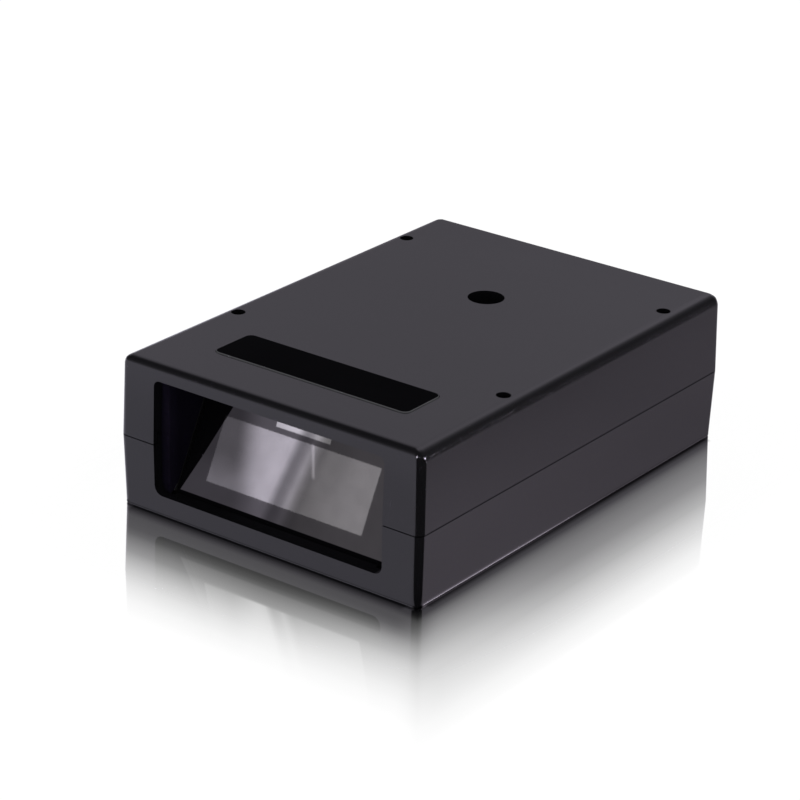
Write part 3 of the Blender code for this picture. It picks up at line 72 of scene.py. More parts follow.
# The shade where the case meets the floor, by the same height, and how far from the case's corners it ends
CONTACT_SHADE = ((0.0, 0.35), (0.3, 0.5), (0.7, 0.92), (1.0, 1.0))
SHADE_ENDS = (0.0016, 0.0024)
FLOOR_GLOW, GLOW_SHARE = 1.03, 0.85

# Painted reflection: the pane, turned over, glows on the floor, in mm. Which place of the window a point of the
# floor shows:
FLIP_SLIDE = (-3.94, SIGHT_X / SIGHT_Y + 0.126)
FLIP_RISE = (2.4, 0.643)
# ... which place of the pane is seen through that, by the height: across, and along the pane
FLIP_ACROSS = (-0.289, -0.68)
FLIP_ALONG = (0.881, -3.90)
# ... and where the picture ends: at the hood's left cheek, at the window's right edge and at the pane's foot
FLIP_CHEEK = (0.4, -17.0)
FLIP_RIGHT = (19.2, 18.8)
FLIP_FOOT = (0.2, 0.6)
FLIP_PRINT = (0.04, 0.04, 0.04, 1.0)

# What the satin faces see on the floor. It is unlit under the camera, between two planes at the near corner:
UNLIT_PLANES = ((0.988, 0.156), (0.714, 0.700))
UNLIT_EDGE = (-0.0008, -0.0004)
UNLIT_LEVEL = (0.01, 0.01, 0.01, 1.0)
# ... beside the case it gets darker to the rear, by the y in mm, and away from the case; so it does in front
SIDE_BY_Y = ((-35.0, 0.56), (-10.0, 0.50), (15.0, 0.42), (40.0, 0.365), (60.0, 0.36))
SIDE_NEAR, SIDE_FAR = (0.003, 0.012, 1.0, 1.08), (0.020, 0.070, 1.0, 0.30)
FRONT_NEAR, FRONT_FAR = (0.030, 0.042, 0.79, 0.95), (0.045, 0.220, 1.0, 0.5)
SIDE_TINT, FRONT_TINT = (1.01, 0.91, 1.08, 1.0), (0.965, 0.93, 1.10, 1.0)
# ... and a line of light lies at the foot of the side, which fades to the rear, and a faint one at the front's
FOOT_LINE = (0.00035, 0.0001)
SIDE_LINE, SIDE_LINE_START = (0.012, -0.020, 0.25, 1.5), (0.0014, 0.0022)
FRONT_LINE = (-0.0008, -0.0014, 0.0, 0.27)

# What the plastic mirrors: a panel behind and to the left, by the x, the y and the z of the direction
PANEL_LEVEL = 1.35
PANEL_BY_X = ((-1.0, 0.40), (-0.65, 0.42), (-0.55, 0.42), (-0.5, 0.44), (-0.4, 0.50), (-0.3, 0.58),
              (-0.2, 0.70), (-0.1, 0.82), (0.0, 0.76), (0.1, 0.53), (0.2, 0.30), (0.3, 0.165), (0.45, 0.07),
              (1.0, 0.04))
PANEL_BY_Y = ((-1.0, 0.0), (-0.26, 0.05), (-0.15, 0.07), (-0.05, 0.12), (0.03, 0.24), (0.12, 0.48),
              (0.2, 0.78), (0.31, 1.0), (0.41, 1.0), (0.56, 0.90), (0.66, 0.80), (0.75, 0.728), (1.0, 0.728))
PANEL_BY_Z = ((-1.0, 0.6), (0.28, 0.6), (0.35, 0.74), (0.42, 1.0), (1.0, 1.0))
# ... and the brightness over the horizon in front and to the right, by the z of the direction
FRONT_BY_Z = ((0.0, 0.38), (0.17, 0.20), (0.30, 0.11), (0.44, 0.06), (0.66, 0.01), (0.8, 0.0))
RIGHT_BY_Z = ((0.0, 0.08), (0.27, 0.03), (0.5, 0.0))
DARKEST = 0.035
# Two small lamps low on the horizon that glint in the near corner, and where their soft edge starts and ends
LAMPS = ((0.05, -0.999, 0.03), (0.852, 0.524, 0.0))
LAMP_LEVEL = 190.0
LAMP_ANGLES = (6.0, 3.0)
# What the faces see in the floor's mirror, where they look up: as much as they see of the floor themselves
FRONT_MIRRORED, SIDE_MIRRORED = 0.80, 0.52
STUDIO_TINT = (0.99, 0.935, 1.075, 1.0)

# The curtain's light from left to right, as the pane shows it at mid height, in mm and in shares of white
CURTAIN_FOLDS = ((-15.0, 0.33), (-5.0, 0.35), (-4.0, 0.38), (-3.0, 0.40), (-2.1, 0.38), (-1.6, 0.26),
                 (-0.9, 0.14), (-0.4, 0.14), (0.2, 0.17), (0.9, 0.245), (1.3, 0.22), (2.0, 0.14), (2.8, 0.10),
                 (4.0, 0.13), (6.0, 0.145), (8.0, 0.17), (12.0, 0.19))
CURTAIN_HALF_WIDTH, CURTAIN_MID_HEIGHT = 15.0, 7.0
# ... how much the folds and the left end lean, and the left end's light, from low to high
FOLD_LEAN, END_LEAN = 0.17, 0.23
CURTAIN_LEFT_END = (-10.0, -5.0)
CURTAIN_DARK_END = (2.5, 7.5, 0.135, 0.07)
# ... its tint to the left and to the right
CURTAIN_TINTS = ((1.005, 0.955, 1.05, 1.0), (1.0, 0.965, 0.975, 1.0))
# The cord that hangs in it: its line, the half width, the ends and the light
CORD_LINE, CORD_WIDTH = (-0.37, 3.4), (0.3, 0.1)
CORD_FOOT, CORD_TOP, CORD_LIGHT = (7.2, 8.0), (12.0, 11.8), 0.17
# How much the clear glass and the print give back of what they mirror, and what the print is to show of it
PANE_SHINE, PRINT_SHINE = 0.086, 0.042
PRINT_SHOWS = (0.174, 0.017)
CURTAIN_DISTANCE = 0.6


class Graph:
    """A node tree with short ways to add and join nodes."""

    def __init__(self, tree):
        self.tree = tree
        tree.nodes.clear()

    def add(self, kind, **settings):
        node = self.tree.nodes.new(kind)
        for name, value in settings.items():
            setattr(node, name, value)
        return node

    def feed(self, socket, value):
        if isinstance(value, bpy.types.NodeSocket):
            self.tree.links.new(value, socket)
        elif value is not None:
            socket.default_value = value

    def split(self, vector):
        """The x, y and z of a vector."""
        node = self.add("ShaderNodeSeparateXYZ")
        self.feed(node.inputs[0], vector)
        return node.outputs

    def math(self, operation, first, second=None, third=None, clamp=False):
        node = self.add("ShaderNodeMath", operation=operation, use_clamp=clamp)
        for socket, value in zip(node.inputs, (first, second, third)):
            self.feed(socket, value)
        return node.outputs[0]

    def product(self, first, *others):
        for other in others:
            first = self.math("MULTIPLY", first, other)
        return first

    def step(self, value, low, high, start=0.0, end=1.0):
        """A smooth rise from start to end as the value goes from low to high."""
        node = self.add("ShaderNodeMapRange", interpolation_type="SMOOTHSTEP")
        for name, item in (("Value", value), ("From Min", low), ("From Max", high),
                           ("To Min", start), ("To Max", end)):
            self.feed(node.inputs[name], item)
        return node.outputs[0]

    def ramp(self, value, stops):
        """A grey or coloured ramp through (position, colour) stops."""
        node = self.add("ShaderNodeValToRGB")
        self.feed(node.inputs[0], value)
        elements = node.color_ramp.elements
        for index, (place, colour) in enumerate(stops):
            element = elements[index] if index < 2 else elements.new(place)
            element.position = place
            element.color = (*colour, 1.0) if isinstance(colour, tuple) else (colour, colour, colour, 1.0)
        return node.outputs[0]

    def blend(self, share, first, second):
        node = self.add("ShaderNodeMix", data_type="RGBA")
        self.feed(node.inputs[0], share)
        self.feed(node.inputs[6], first)
        self.feed(node.inputs[7], second)
        return node.outputs[2]

    def mix(self, share, first, second):
        node = self.add("ShaderNodeMixShader")
        self.feed(node.inputs[0], share)
        self.feed(node.inputs[1], first)
        self.feed(node.inputs[2], second)
        return node.outputs[0]

    def noise(self, place, scale, detail=2.0, roughness=0.5):
        node = self.add("ShaderNodeTexNoise")
        self.feed(node.inputs["Vector"], place)
        self.feed(node.inputs["Scale"], scale)
        self.feed(node.inputs["Detail"], detail)
        self.feed(node.inputs["Roughness"], roughness)
        return node.outputs["Fac"]


def material(name):
    """A new material, its graph and the graph's output node."""
    made = bpy.data.materials.new(name)
    made.use_nodes = True
    graph = Graph(made.node_tree)
    output = graph.add("ShaderNodeOutputMaterial")
    return made, graph, output


def finish(name, dark, light, roughness, metallic=0.0, grain=6000.0, bump=0.1, relief=0.00001,
           patch=90.0, ior=1.5, specular=0.5, coat=0.0, coat_roughness=0.03, stretch=(1.0, 1.0, 1.0)):
    """A Principled finish: colour and roughness vary in patches, and fine grain lifts the surface."""
    made, graph, output = material(name)
    spread = graph.add("ShaderNodeMapping")
    graph.feed(spread.inputs["Vector"], graph.add("ShaderNodeTexCoord").outputs["Object"])
    spread.inputs["Scale"].default_value = stretch
    place = spread.outputs[0]
    patches = graph.noise(place, patch, 3.0, 0.6)
    fine = graph.noise(place, grain, 2.0, 0.6)
    shader = graph.add("ShaderNodeBsdfPrincipled")
    both = graph.math("ADD", graph.math("MULTIPLY", patches, 0.7), graph.math("MULTIPLY", fine, 0.3))
    light_share = graph.step(both, 0.3, 0.7)
    graph.feed(shader.inputs["Base Color"], graph.blend(light_share, (*dark, 1.0), (*light, 1.0)))
    graph.feed(shader.inputs["Roughness"], graph.step(both, 0.3, 0.7, roughness[0], roughness[1]))
    shader.inputs["Metallic"].default_value = metallic
    shader.inputs["IOR"].default_value = ior
    shader.inputs["Specular IOR Level"].default_value = specular
    shader.inputs["Coat Weight"].default_value = coat
    shader.inputs["Coat Roughness"].default_value = coat_roughness
    lift = graph.add("ShaderNodeBump")
    lift.inputs["Strength"].default_value = bump
    lift.inputs["Distance"].default_value = relief
    graph.feed(lift.inputs["Height"], fine)
    graph.feed(shader.inputs["Normal"], lift.outputs[0])
    graph.feed(output.inputs[0], shader.outputs[0])
    return made, graph, shader


def between(graph, value, low, high, edge):
    """1 from low to high, 0 outside, with a fine soft edge."""
    above = graph.step(value, low - edge, low + edge)
    below = graph.step(value, high + edge, high - edge)
    return graph.math("MULTIPLY", above, below)


def rectangle(graph, across, along, sides, edge=PRINT_EDGE):
    """1 inside the sides (left, right, low, high), 0 outside."""
    left, right, low, high = sides
    return graph.product(between(graph, across, left, right, edge), between(graph, along, low, high, edge))


def in_mm(sides):
    return [1000 * side for side in sides]


def pane_material():
    """Glass with a satin black print that leaves one window and one slot clear."""
    made, graph, output = material("pane_glass")
    place = graph.add("ShaderNodeTexCoord").outputs["Object"]
    x, y, z = graph.split(place)
    back = graph.math("MULTIPLY", graph.math("SUBTRACT", y, PANE_FOOT.y), math.sin(PANE_TILT))
    rise = graph.math("MULTIPLY", graph.math("SUBTRACT", z, PANE_FOOT.z), math.cos(PANE_TILT))
    along = graph.math("ADD", back, rise)
    slot = rectangle(graph, x, along, SLOT)
    open_glass = graph.math("MAXIMUM", rectangle(graph, x, along, CLEAR), slot)
    speckle = graph.noise(place, 5000.0, 2.0, 0.6)
    print_colour = graph.blend(speckle, (0.0015, 0.0014, 0.0018, 1.0), (0.0025, 0.0023, 0.0030, 1.0))
    glass_colour = graph.blend(slot, (0.105, 0.103, 0.108, 1.0), (0.140, 0.139, 0.142, 1.0))
    shader = graph.add("ShaderNodeBsdfPrincipled")
    graph.feed(shader.inputs["Base Color"], graph.blend(open_glass, print_colour, glass_colour))
    graph.feed(shader.inputs["Roughness"], graph.step(speckle, 0.3, 0.7, 0.012, 0.016))
    graph.feed(shader.inputs["Metallic"], open_glass)
    graph.feed(shader.inputs["Alpha"], graph.step(open_glass, 0.0, 1.0, 1.0, 0.82))
    # painted shade: no shine on the pane's lowest part
    graph.feed(shader.inputs["Specular IOR Level"],
               graph.step(along, FOOT_SHADOW, FOOT_SHADOW + 0.0001, 0.0, 0.5))
    graph.feed(shader.inputs["Specular Tint"],
               graph.blend(open_glass, (0.95, 0.91, 1.0, 1.0), (1.0, 1.0, 1.0, 1.0)))
    graph.feed(output.inputs[0], shader.outputs[0])
    return made


def label_material_with_painted_glint():
    """A deep black plate whose tilted edge faces are painted a paler grey: a painted glint along its edge."""
    made, graph, shader = finish(
        "label_gloss", (0.0006, 0.0006, 0.0008), (0.0010, 0.0010, 0.0013), (0.10, 0.16),
        grain=9000.0, bump=0.05, ior=1.03)
    upright = graph.split(graph.add("ShaderNodeNewGeometry").outputs["True Normal"])[2]
    # painted glint: faces that tilt away from upright get a paler grey
    edge = graph.step(upright, 0.95, 0.85)
    face = shader.inputs["Base Color"].links[0].from_socket
    graph.feed(shader.inputs["Base Color"], graph.blend(edge, face, (0.08, 0.08, 0.085, 1.0)))
    return made


def plain(name, *args, **settings):
    return finish(name, *args, **settings)[0]


def make_finishes():
    return {
        "case_plastic": plain("case_plastic", (0.0032, 0.0031, 0.0039), (0.0042, 0.0040, 0.0050),
                              (0.16, 0.19), grain=7000.0, bump=0.06, patch=60.0),
        "hood_plastic": plain("hood_plastic", (0.0036, 0.0028, 0.0064), (0.0050, 0.0040, 0.0086),
                              (0.60, 0.75), ior=1.08, bump=0.2),
        "pane_glass": pane_material(),
        "adhesive_tape": plain("adhesive_tape", (0.002, 0.002, 0.002), (0.004, 0.004, 0.004), (0.75, 0.9),
                               grain=3000.0, bump=0.5),
        "label_gloss": label_material_with_painted_glint(),
        "insert_brass": plain("insert_brass", (0.52, 0.36, 0.14), (0.66, 0.48, 0.20), (0.28, 0.42),
                              1.0, stretch=(0.2, 0.2, 3.0), bump=0.15),
        "screw_steel": plain("screw_steel", (0.42, 0.42, 0.44), (0.56, 0.56, 0.58), (0.25, 0.42), 1.0,
                             patch=900.0, bump=0.15),
        "engine_zinc": plain("engine_zinc", (0.018, 0.018, 0.020), (0.032, 0.032, 0.034), (0.40, 0.52),
                             0.5, grain=4000.0, bump=0.25),
        "barrel_black": plain("barrel_black", (0.010, 0.010, 0.011), (0.018, 0.018, 0.020), (0.26, 0.36),
                              0.7, stretch=(1.0, 6.0, 1.0), bump=0.12),
        "lens_glass": plain("lens_glass", (0.02, 0.02, 0.05), (0.05, 0.03, 0.08), (0.02, 0.05),
                            grain=2000.0, bump=0.01, ior=1.7, coat=0.6),
        "board_green": plain("board_green", (0.006, 0.045, 0.018), (0.012, 0.070, 0.028), (0.30, 0.42),
                             grain=2500.0, bump=0.25, patch=700.0),
        "sensor_ceramic": plain("sensor_ceramic", (0.09, 0.09, 0.10), (0.14, 0.14, 0.15), (0.25, 0.35)),
        "led_resin": plain("led_resin", (0.62, 0.58, 0.34), (0.80, 0.76, 0.52), (0.15, 0.25), coat=0.4,
                           patch=1200.0, bump=0.03),
        "guide_acrylic": plain("guide_acrylic", (0.66, 0.68, 0.70), (0.80, 0.82, 0.84), (0.30, 0.45),
                               bump=0.08),
        "chip_epoxy": plain("chip_epoxy", (0.016, 0.016, 0.017), (0.028, 0.028, 0.029), (0.48, 0.62),
                            grain=5000.0, bump=0.3),
        "can_metal": plain("can_metal", (0.52, 0.53, 0.55), (0.66, 0.67, 0.69), (0.22, 0.35), 1.0,
                           stretch=(1.0, 1.0, 0.2), bump=0.08),
        "ferrite": plain("ferrite", (0.035, 0.034, 0.034), (0.060, 0.058, 0.058), (0.60, 0.75),
                         grain=3500.0, bump=0.4),
        "beeper_plastic": plain("beeper_plastic", (0.0010, 0.0010, 0.0011), (0.0020, 0.0020, 0.0022),
                                (0.55, 0.7), specular=0.1, bump=0.2),
        "connector_ivory": plain("connector_ivory", (0.50, 0.46, 0.34), (0.62, 0.58, 0.46), (0.40, 0.52),
                                 bump=0.15),
        "flex_amber": plain("flex_amber", (0.26, 0.11, 0.014), (0.38, 0.17, 0.026), (0.24, 0.36),
                            stretch=(1.0, 0.1, 0.1), bump=0.1),
        "socket_plastic": plain("socket_plastic", (0.008, 0.008, 0.009), (0.013, 0.013, 0.014),
                                (0.34, 0.44), bump=0.12),
        "contact_gold": plain("contact_gold", (0.70, 0.46, 0.14), (0.86, 0.60, 0.22), (0.16, 0.28), 1.0,
                              bump=0.05),
    }


def smoothing_group():
    """Joins loose corners and shades a mesh smooth, but for edges over 35 degrees."""
    group = bpy.data.node_groups.new("shade_by_angle", "GeometryNodeTree")
    group.interface.new_socket("Geometry", in_out="INPUT", socket_type="NodeSocketGeometry")
    group.interface.new_socket("Geometry", in_out="OUTPUT", socket_type="NodeSocketGeometry")
    start = group.nodes.new("NodeGroupInput")
    end = group.nodes.new("NodeGroupOutput")
    weld = group.nodes.new("GeometryNodeMergeByDistance")
    weld.inputs["Distance"].default_value = 0.000002
    faces = group.nodes.new("GeometryNodeSetShadeSmooth")
    faces.domain = "FACE"
    edges = group.nodes.new("GeometryNodeSetShadeSmooth")
    edges.domain = "EDGE"
    angle = group.nodes.new("GeometryNodeInputMeshEdgeAngle")
    small = group.nodes.new("FunctionNodeCompare")
    small.data_type = "FLOAT"
    small.operation = "LESS_THAN"
    small.inputs["B"].default_value = math.radians(35)
    join = group.links.new
    join(start.outputs[0], weld.inputs["Geometry"])
    join(weld.outputs["Geometry"], faces.inputs["Geometry"])
    join(faces.outputs["Geometry"], edges.inputs["Geometry"])
    join(angle.outputs["Unsigned Angle"], small.inputs["A"])
    join(small.outputs[0], edges.inputs["Shade Smooth"])
    join(edges.outputs["Geometry"], end.inputs[0])
    return group


def dress_nodes():
    finishes = make_finishes()
    group = smoothing_group()
    slots = {entry["node"]: entry["material_slot"] for entry in frame["record"]["subparts"]}
    for name, thing in NODES.items():
        thing.data.materials.clear()
        thing.data.materials.append(finishes[slots[name]])
        shade = thing.modifiers.new("shade_by_angle", "NODES")
        shade.node_group = group
        weigh = thing.modifiers.new("weighted_normals", "WEIGHTED_NORMAL")
        weigh.mode = "FACE_AREA"
        weigh.weight = 90
        weigh.keep_sharp = True


def stage_piece(name, corners, faces, finish_made, seen=None):
    """A stage mesh; seen gives each corner a pair of numbers that its material reads."""
    mesh = bpy.data.meshes.new(name)
    mesh.from_pydata(corners, [], faces)
    if seen is not None:
        layer = mesh.uv_layers.new(name="seen")
        for loop in mesh.loops:
            layer.data[loop.index].uv = seen[loop.vertex_index]
    mesh.materials.append(finish_made)
    thing = bpy.data.objects.new(name, mesh)
    bpy.context.scene.collection.objects.link(thing)
    return thing


def floor_material():
    """White floor that mirrors the case; the satin surfaces see a soft light on it instead."""
    made, graph, output = material("floor_white")
    low, high = CAD_BOX
    x, y, _ = graph.split(graph.add("ShaderNodeTexCoord").outputs["Object"])
    right = graph.math("SUBTRACT", x, high.x)
    ahead = graph.math("SUBTRACT", low.y, y)
    picture = floor_picture(graph, x, y, right, ahead)
    sheen = floor_sheen(graph, x, y, right, ahead)
    graph.feed(output.inputs[0], graph.mix(unfocused(graph), picture, sheen))
    return made


def beyond_case(graph, place, half):
    """How far a place on an axis lies outside the case's half size."""
    return graph.math("MAXIMUM", graph.math("SUBTRACT", graph.math("ABSOLUTE", place), half), 0.0)


def floor_picture(graph, x, y, right, ahead):
    """A mirror that fades with the height it mirrors, over white ground, with a painted reflection of the pane.
    """
    high = CAD_BOX[1]
    height = graph.math("MAXIMUM", graph.math("MULTIPLY", beyond_case(graph, x, high.x), SIGHT_RISE / SIGHT_X),
                        graph.math("MULTIPLY", beyond_case(graph, y, high.y), SIGHT_RISE / SIGHT_Y))
    reach = graph.math("DIVIDE", height, FADE_REACH)

    def by_height(stops):
        return graph.ramp(reach, [(mm / 1000 / FADE_REACH, value) for mm, value in stops])

    # Which face a point mirrors, and how far from the near corner
    along_front = graph.math("SUBTRACT", graph.math("MULTIPLY", ahead, SIGHT_X / SIGHT_Y), right)
    along_right = graph.math("MULTIPLY", along_front, -SIGHT_Y / SIGHT_X)
    front_part = graph.step(along_front, -0.004, 0.004)
    side_pale = graph.product(graph.step(along_right, *SIDE_PALE), graph.step(height, *SIDE_PALE_HEIGHT))
    front_pale = graph.product(graph.step(along_front, *FRONT_PALE), graph.step(height, *FRONT_PALE_HEIGHT))
    clear = graph.math("SUBTRACT", 1.0, graph.blend(front_part, side_pale, front_pale))
    share = graph.product(graph.blend(front_part, by_height(SIDE_FADE), by_height(FRONT_FADE)), clear)

    shaded = [graph.step(graph.math("ABSOLUTE", place), *[half - end for end in SHADE_ENDS])
              for place, half in ((x, high.x), (y, high.y))]
    shade = graph.blend(graph.math("MAXIMUM", *shaded), (1.0, 1.0, 1.0, 1.0), by_height(CONTACT_SHADE))
    mirror = graph.add("ShaderNodeBsdfGlossy")
    mirror.inputs["Roughness"].default_value = 0.0
    graph.feed(mirror.inputs["Color"], shade)
    matt = graph.add("ShaderNodeBsdfDiffuse")
    matt.inputs["Color"].default_value = (0.98, 0.98, 0.98, 1.0)
    glow = graph.add("ShaderNodeEmission")
    glow.inputs["Strength"].default_value = FLOOR_GLOW
    ground = graph.mix(GLOW_SHARE, matt.outputs[0], glow.outputs[0])
    picture = graph.mix(share, ground, mirror.outputs[0])
    both = graph.add("ShaderNodeAddShader")
    graph.feed(both.inputs[0], picture)
    graph.feed(both.inputs[1], painted_pane_reflection(graph, share, x, ahead))
    return both.outputs[0]


def painted_pane_reflection(graph, share, floor_x, ahead):
    """A painted reflection: the pane turned over glows on the floor; a true mirror would show the dark recess
    in its place.
    """
    slide = graph.math("MULTIPLY", ahead, graph.math("MULTIPLY_ADD", floor_x, *FLIP_SLIDE))
    across = graph.math("MULTIPLY", graph.math("SUBTRACT", floor_x, slide), 1000.0)
    rise = graph.product(ahead, graph.math("MULTIPLY_ADD", ahead, *FLIP_RISE), 1000.0)
    x = graph.math("MULTIPLY_ADD", rise, FLIP_ACROSS[0], graph.math("ADD", across, FLIP_ACROSS[1]))
    along = graph.math("MULTIPLY_ADD", rise, *FLIP_ALONG)
    cheek = graph.math("SUBTRACT", x, graph.math("MULTIPLY_ADD", along, *FLIP_CHEEK))
    pane = graph.product(graph.step(cheek, -0.1, 0.3), graph.step(along, *FLIP_FOOT),
                         graph.step(across, *FLIP_RIGHT))
    clear = rectangle(graph, x, along, in_mm(CLEAR), 0.2)
    level = graph.blend(clear, FLIP_PRINT, curtain_light(graph, x, along)[0])
    shown = graph.add("ShaderNodeEmission")
    graph.feed(shown.inputs["Strength"], graph.product(level, pane, share))
    return shown.outputs[0]


def floor_sheen(graph, x, y, right, ahead):
    """The light that the case's satin faces see on the floor."""
    low, high = CAD_BOX
    side_level = graph.ramp(graph.math("MULTIPLY_ADD", y, 10.0, 0.4),
                            [(mm / 100 + 0.4, value) for mm, value in SIDE_BY_Y])
    side_level = graph.product(side_level, graph.step(right, *SIDE_FAR), graph.step(right, *SIDE_NEAR))
    front_level = graph.product(graph.step(ahead, *FRONT_NEAR), graph.step(ahead, *FRONT_FAR))
    front_zone = graph.step(graph.math("SUBTRACT", ahead, right), -0.0002, 0.0002)
    level = graph.blend(front_zone, side_level, front_level)

    outside = graph.math("MAXIMUM", beyond_case(graph, x, high.x), beyond_case(graph, y, high.y))
    side_line = graph.product(graph.step(y, *SIDE_LINE),
                              graph.step(y, *[low.y + start for start in SIDE_LINE_START]))
    line = graph.blend(front_zone, side_line, graph.step(right, *FRONT_LINE))
    level = graph.blend(graph.step(outside, *FOOT_LINE), level, line)

    inside = [graph.step(graph.math("ADD", graph.math("MULTIPLY", right, by_right),
                                    graph.math("MULTIPLY", ahead, by_ahead)), *UNLIT_EDGE)
              for by_right, by_ahead in UNLIT_PLANES]
    level = graph.blend(graph.product(*inside), level, UNLIT_LEVEL)
    sheen = graph.add("ShaderNodeEmission")
    graph.feed(sheen.inputs["Color"], graph.blend(front_zone, SIDE_TINT, FRONT_TINT))
    graph.feed(sheen.inputs["Strength"], level)
    return sheen.outputs[0]


def unfocused(graph):
    """1 for the rays of satin and rough surfaces, 0 for those of the camera and of the floor's mirror."""
    rays = graph.add("ShaderNodeLightPath")
    return graph.math("SUBTRACT", rays.outputs["Is Glossy Ray"], rays.outputs["Is Singular Ray"], clamp=True)


def make_floor():
    reach = 4.0
    corners = [(-reach, -reach, 0.0), (reach, -reach, 0.0), (reach, reach, 0.0), (-reach, reach, 0.0)]
    stage_piece("floor", corners, [(0, 1, 2, 3)], floor_material())


def make_world():
    """White where it is looked at; a plain even light; and for the plastic's sheen a soft dim studio."""
    world = bpy.data.worlds.new("studio")
    bpy.context.scene.world = world
    world.use_nodes = True
    graph = Graph(world.node_tree)
    output = graph.add("ShaderNodeOutputWorld")
    heading = graph.add("ShaderNodeTexCoord").outputs["Generated"]
    x, y, z = graph.split(heading)

    def by(value, stops):
        return graph.ramp(graph.math("MULTIPLY_ADD", value, 0.5, 0.5), [((at + 1) / 2, to) for at, to in stops])

    panel = graph.product(by(x, PANEL_BY_X), by(y, PANEL_BY_Y), by(z, PANEL_BY_Z), PANEL_LEVEL)
    front = graph.product(by(z, FRONT_BY_Z), graph.step(y, -0.35, -0.7), graph.step(x, 0.1, -0.3))
    right = graph.product(by(z, RIGHT_BY_Z), graph.step(x, 0.4, 0.6))
    level = graph.math("ADD", graph.math("ADD", panel, DARKEST), graph.math("ADD", front, right))
    for lamp in LAMPS:
        facing = graph.add("ShaderNodeVectorMath", operation="DOT_PRODUCT")
        graph.feed(facing.inputs[0], heading)
        facing.inputs[1].default_value = Vector(lamp).normalized()
        spot = graph.step(facing.outputs["Value"], *[math.cos(math.radians(angle)) for angle in LAMP_ANGLES])
        level = graph.math("MULTIPLY_ADD", spot, LAMP_LEVEL, level)
    mirrored = graph.math("ADD", graph.step(x, -0.25, -0.45, 0.0, FRONT_MIRRORED),
                          graph.step(y, 0.5, 0.7, 0.0, SIDE_MIRRORED))
    in_mirror = graph.math("GREATER_THAN", graph.add("ShaderNodeLightPath").outputs["Glossy Depth"], 1.5)
    level = graph.blend(in_mirror, level, mirrored)
    studio = graph.add("ShaderNodeBackground")
    studio.inputs["Color"].default_value = STUDIO_TINT
    graph.feed(studio.inputs["Strength"], level)
    white = graph.add("ShaderNodeBackground")
    white.inputs["Color"].default_value = (1.0, 1.0, 1.0, 1.0)
    white.inputs["Strength"].default_value = 1.0
    graph.feed(output.inputs[0], graph.mix(unfocused(graph), white.outputs[0], studio.outputs[0]))


def in_pane(across, along):
    """A point of the pane's front face."""
    return PANE_FOOT + Vector((across, along * math.sin(PANE_TILT), along * math.cos(PANE_TILT)))


def behind_pane_view(across, along, middle, facing):
    """Where the camera, by way of the pane, meets the plane of a card."""
    point = in_pane(across, along)
    ray = (point - CAMERA_PLACE).normalized()
    ray -= 2 * ray.dot(PANE_NORMAL) * PANE_NORMAL
    return point + ray * ((middle - point).dot(facing) / ray.dot(facing))


def curtain_light(graph, x, along):
    """The curtain's soft upright folds, by mm over the pane's width and height, and the place across them."""
    rise = graph.math("SUBTRACT", along, CURTAIN_MID_HEIGHT)
    slid = graph.math("SUBTRACT", x, graph.math("MULTIPLY", rise, FOLD_LEAN))
    width = 2 * CURTAIN_HALF_WIDTH
    folds = graph.ramp(graph.math("MULTIPLY_ADD", slid, 1 / width, 0.5),
                       [((at + CURTAIN_HALF_WIDTH) / width, to) for at, to in CURTAIN_FOLDS])
    left_end = graph.step(graph.math("ADD", x, graph.math("MULTIPLY", rise, END_LEAN)), *CURTAIN_LEFT_END)
    return graph.blend(left_end, graph.step(along, *CURTAIN_DARK_END), folds), slid


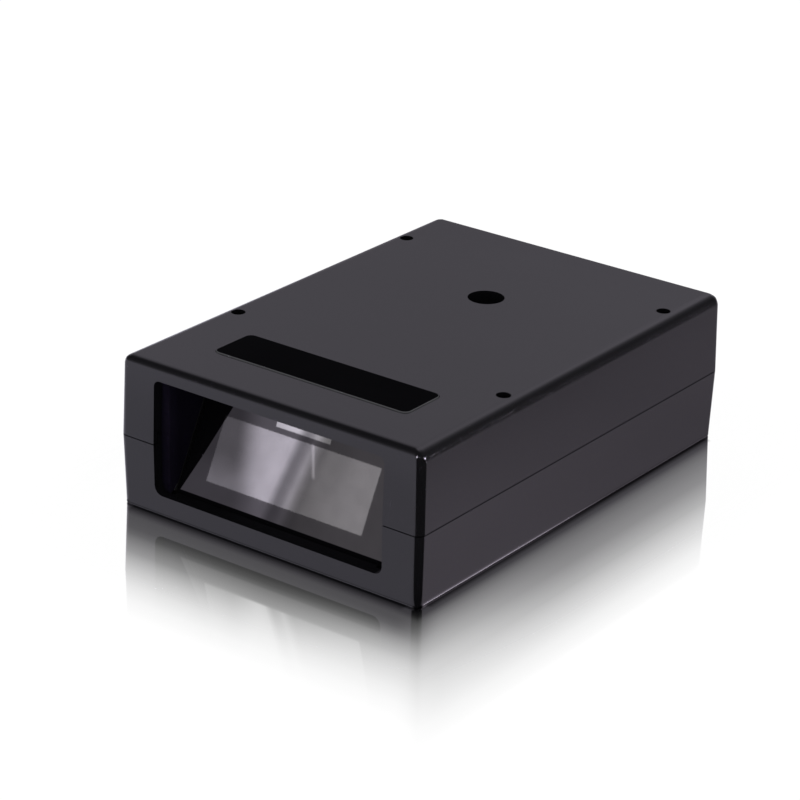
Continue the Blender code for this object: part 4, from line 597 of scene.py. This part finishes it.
def curtain_material():
    """A lit curtain with a cord; its UV map holds mm over the pane's width and height."""
    made, graph, output = material("curtain")
    seen = graph.add("ShaderNodeUVMap", uv_map="seen").outputs[0]
    x, along, _ = graph.split(seen)
    level, slid = curtain_light(graph, x, along)
    rise = graph.math("SUBTRACT", along, CURTAIN_MID_HEIGHT)
    from_cord = graph.math("ABSOLUTE", graph.math("SUBTRACT", x, graph.math("MULTIPLY_ADD", rise, *CORD_LINE)))
    cord = graph.product(graph.step(from_cord, *CORD_WIDTH), graph.step(along, *CORD_FOOT),
                         graph.step(along, *CORD_TOP))
    level = graph.math("MULTIPLY_ADD", cord, CORD_LIGHT, level)
    level = graph.product(level, graph.step(graph.noise(seen, 0.35, 1.0), 0.3, 0.7, 0.95, 1.05))
    open_parts = [rectangle(graph, x, along, in_mm(sides), 0.1) for sides in (CLEAR, SLOT)]
    over_glass = graph.math("MAXIMUM", *open_parts)
    over_print = graph.math("DIVIDE", graph.math("MULTIPLY_ADD", level, *PRINT_SHOWS), PRINT_SHINE)
    glow = graph.add("ShaderNodeEmission")
    graph.feed(glow.inputs["Color"], graph.blend(graph.step(slid, -1.0, 4.0), *CURTAIN_TINTS))
    graph.feed(glow.inputs["Strength"],
               graph.blend(over_glass, over_print, graph.math("DIVIDE", level, PANE_SHINE)))
    graph.feed(output.inputs[0], glow.outputs[0])
    return made


def make_curtain():
    """The card that the glass mirrors; it lights nothing but the pane."""
    facing = (2 * VIEW.dot(PANE_NORMAL) * PANE_NORMAL - VIEW).normalized()
    middle = in_pane(0.0, 0.008) + facing * CURTAIN_DISTANCE
    columns, rows = 18, 9
    seen = [(2.0 * column - columns, 2.0 * row - 1.0)
            for row in range(rows + 1) for column in range(columns + 1)]
    corners = [behind_pane_view(across / 1000, along / 1000, middle, facing) for across, along in seen]
    starts = [row * (columns + 1) + column for row in range(rows) for column in range(columns)]
    faces = [(start, start + 1, start + columns + 2, start + columns + 1) for start in starts]
    card = stage_piece("curtain_card", corners, faces, curtain_material(), seen)
    lit = bpy.data.collections.new("lit_by_curtain")
    lit.objects.link(NODES["window_pane"])
    card.light_linking.receiver_collection = lit
    card.visible_camera = False
    card.visible_diffuse = False
    card.visible_shadow = False
    card.visible_transmission = False


def make_camera():
    right = (-VIEW).cross(Vector((0.0, 0.0, 1.0))).normalized()
    up = right.cross(-VIEW)
    turned_right = math.cos(CAMERA_ROLL) * right + math.sin(CAMERA_ROLL) * up
    turned_up = -math.sin(CAMERA_ROLL) * right + math.cos(CAMERA_ROLL) * up
    data = bpy.data.cameras.new("camera")
    data.lens = CAMERA_LENS
    data.sensor_width = 36.0
    data.clip_start, data.clip_end = 0.01, 20.0
    camera = bpy.data.objects.new("camera", data)
    place = Matrix((turned_right, turned_up, VIEW)).transposed().to_4x4()
    place.translation = CAMERA_PLACE
    camera.matrix_world = place
    bpy.context.scene.collection.objects.link(camera)
    bpy.context.scene.camera = camera


make_camera()
make_world()
make_floor()
make_curtain()
dress_nodes()
bpy.context.scene.view_settings.view_transform = "Standard"
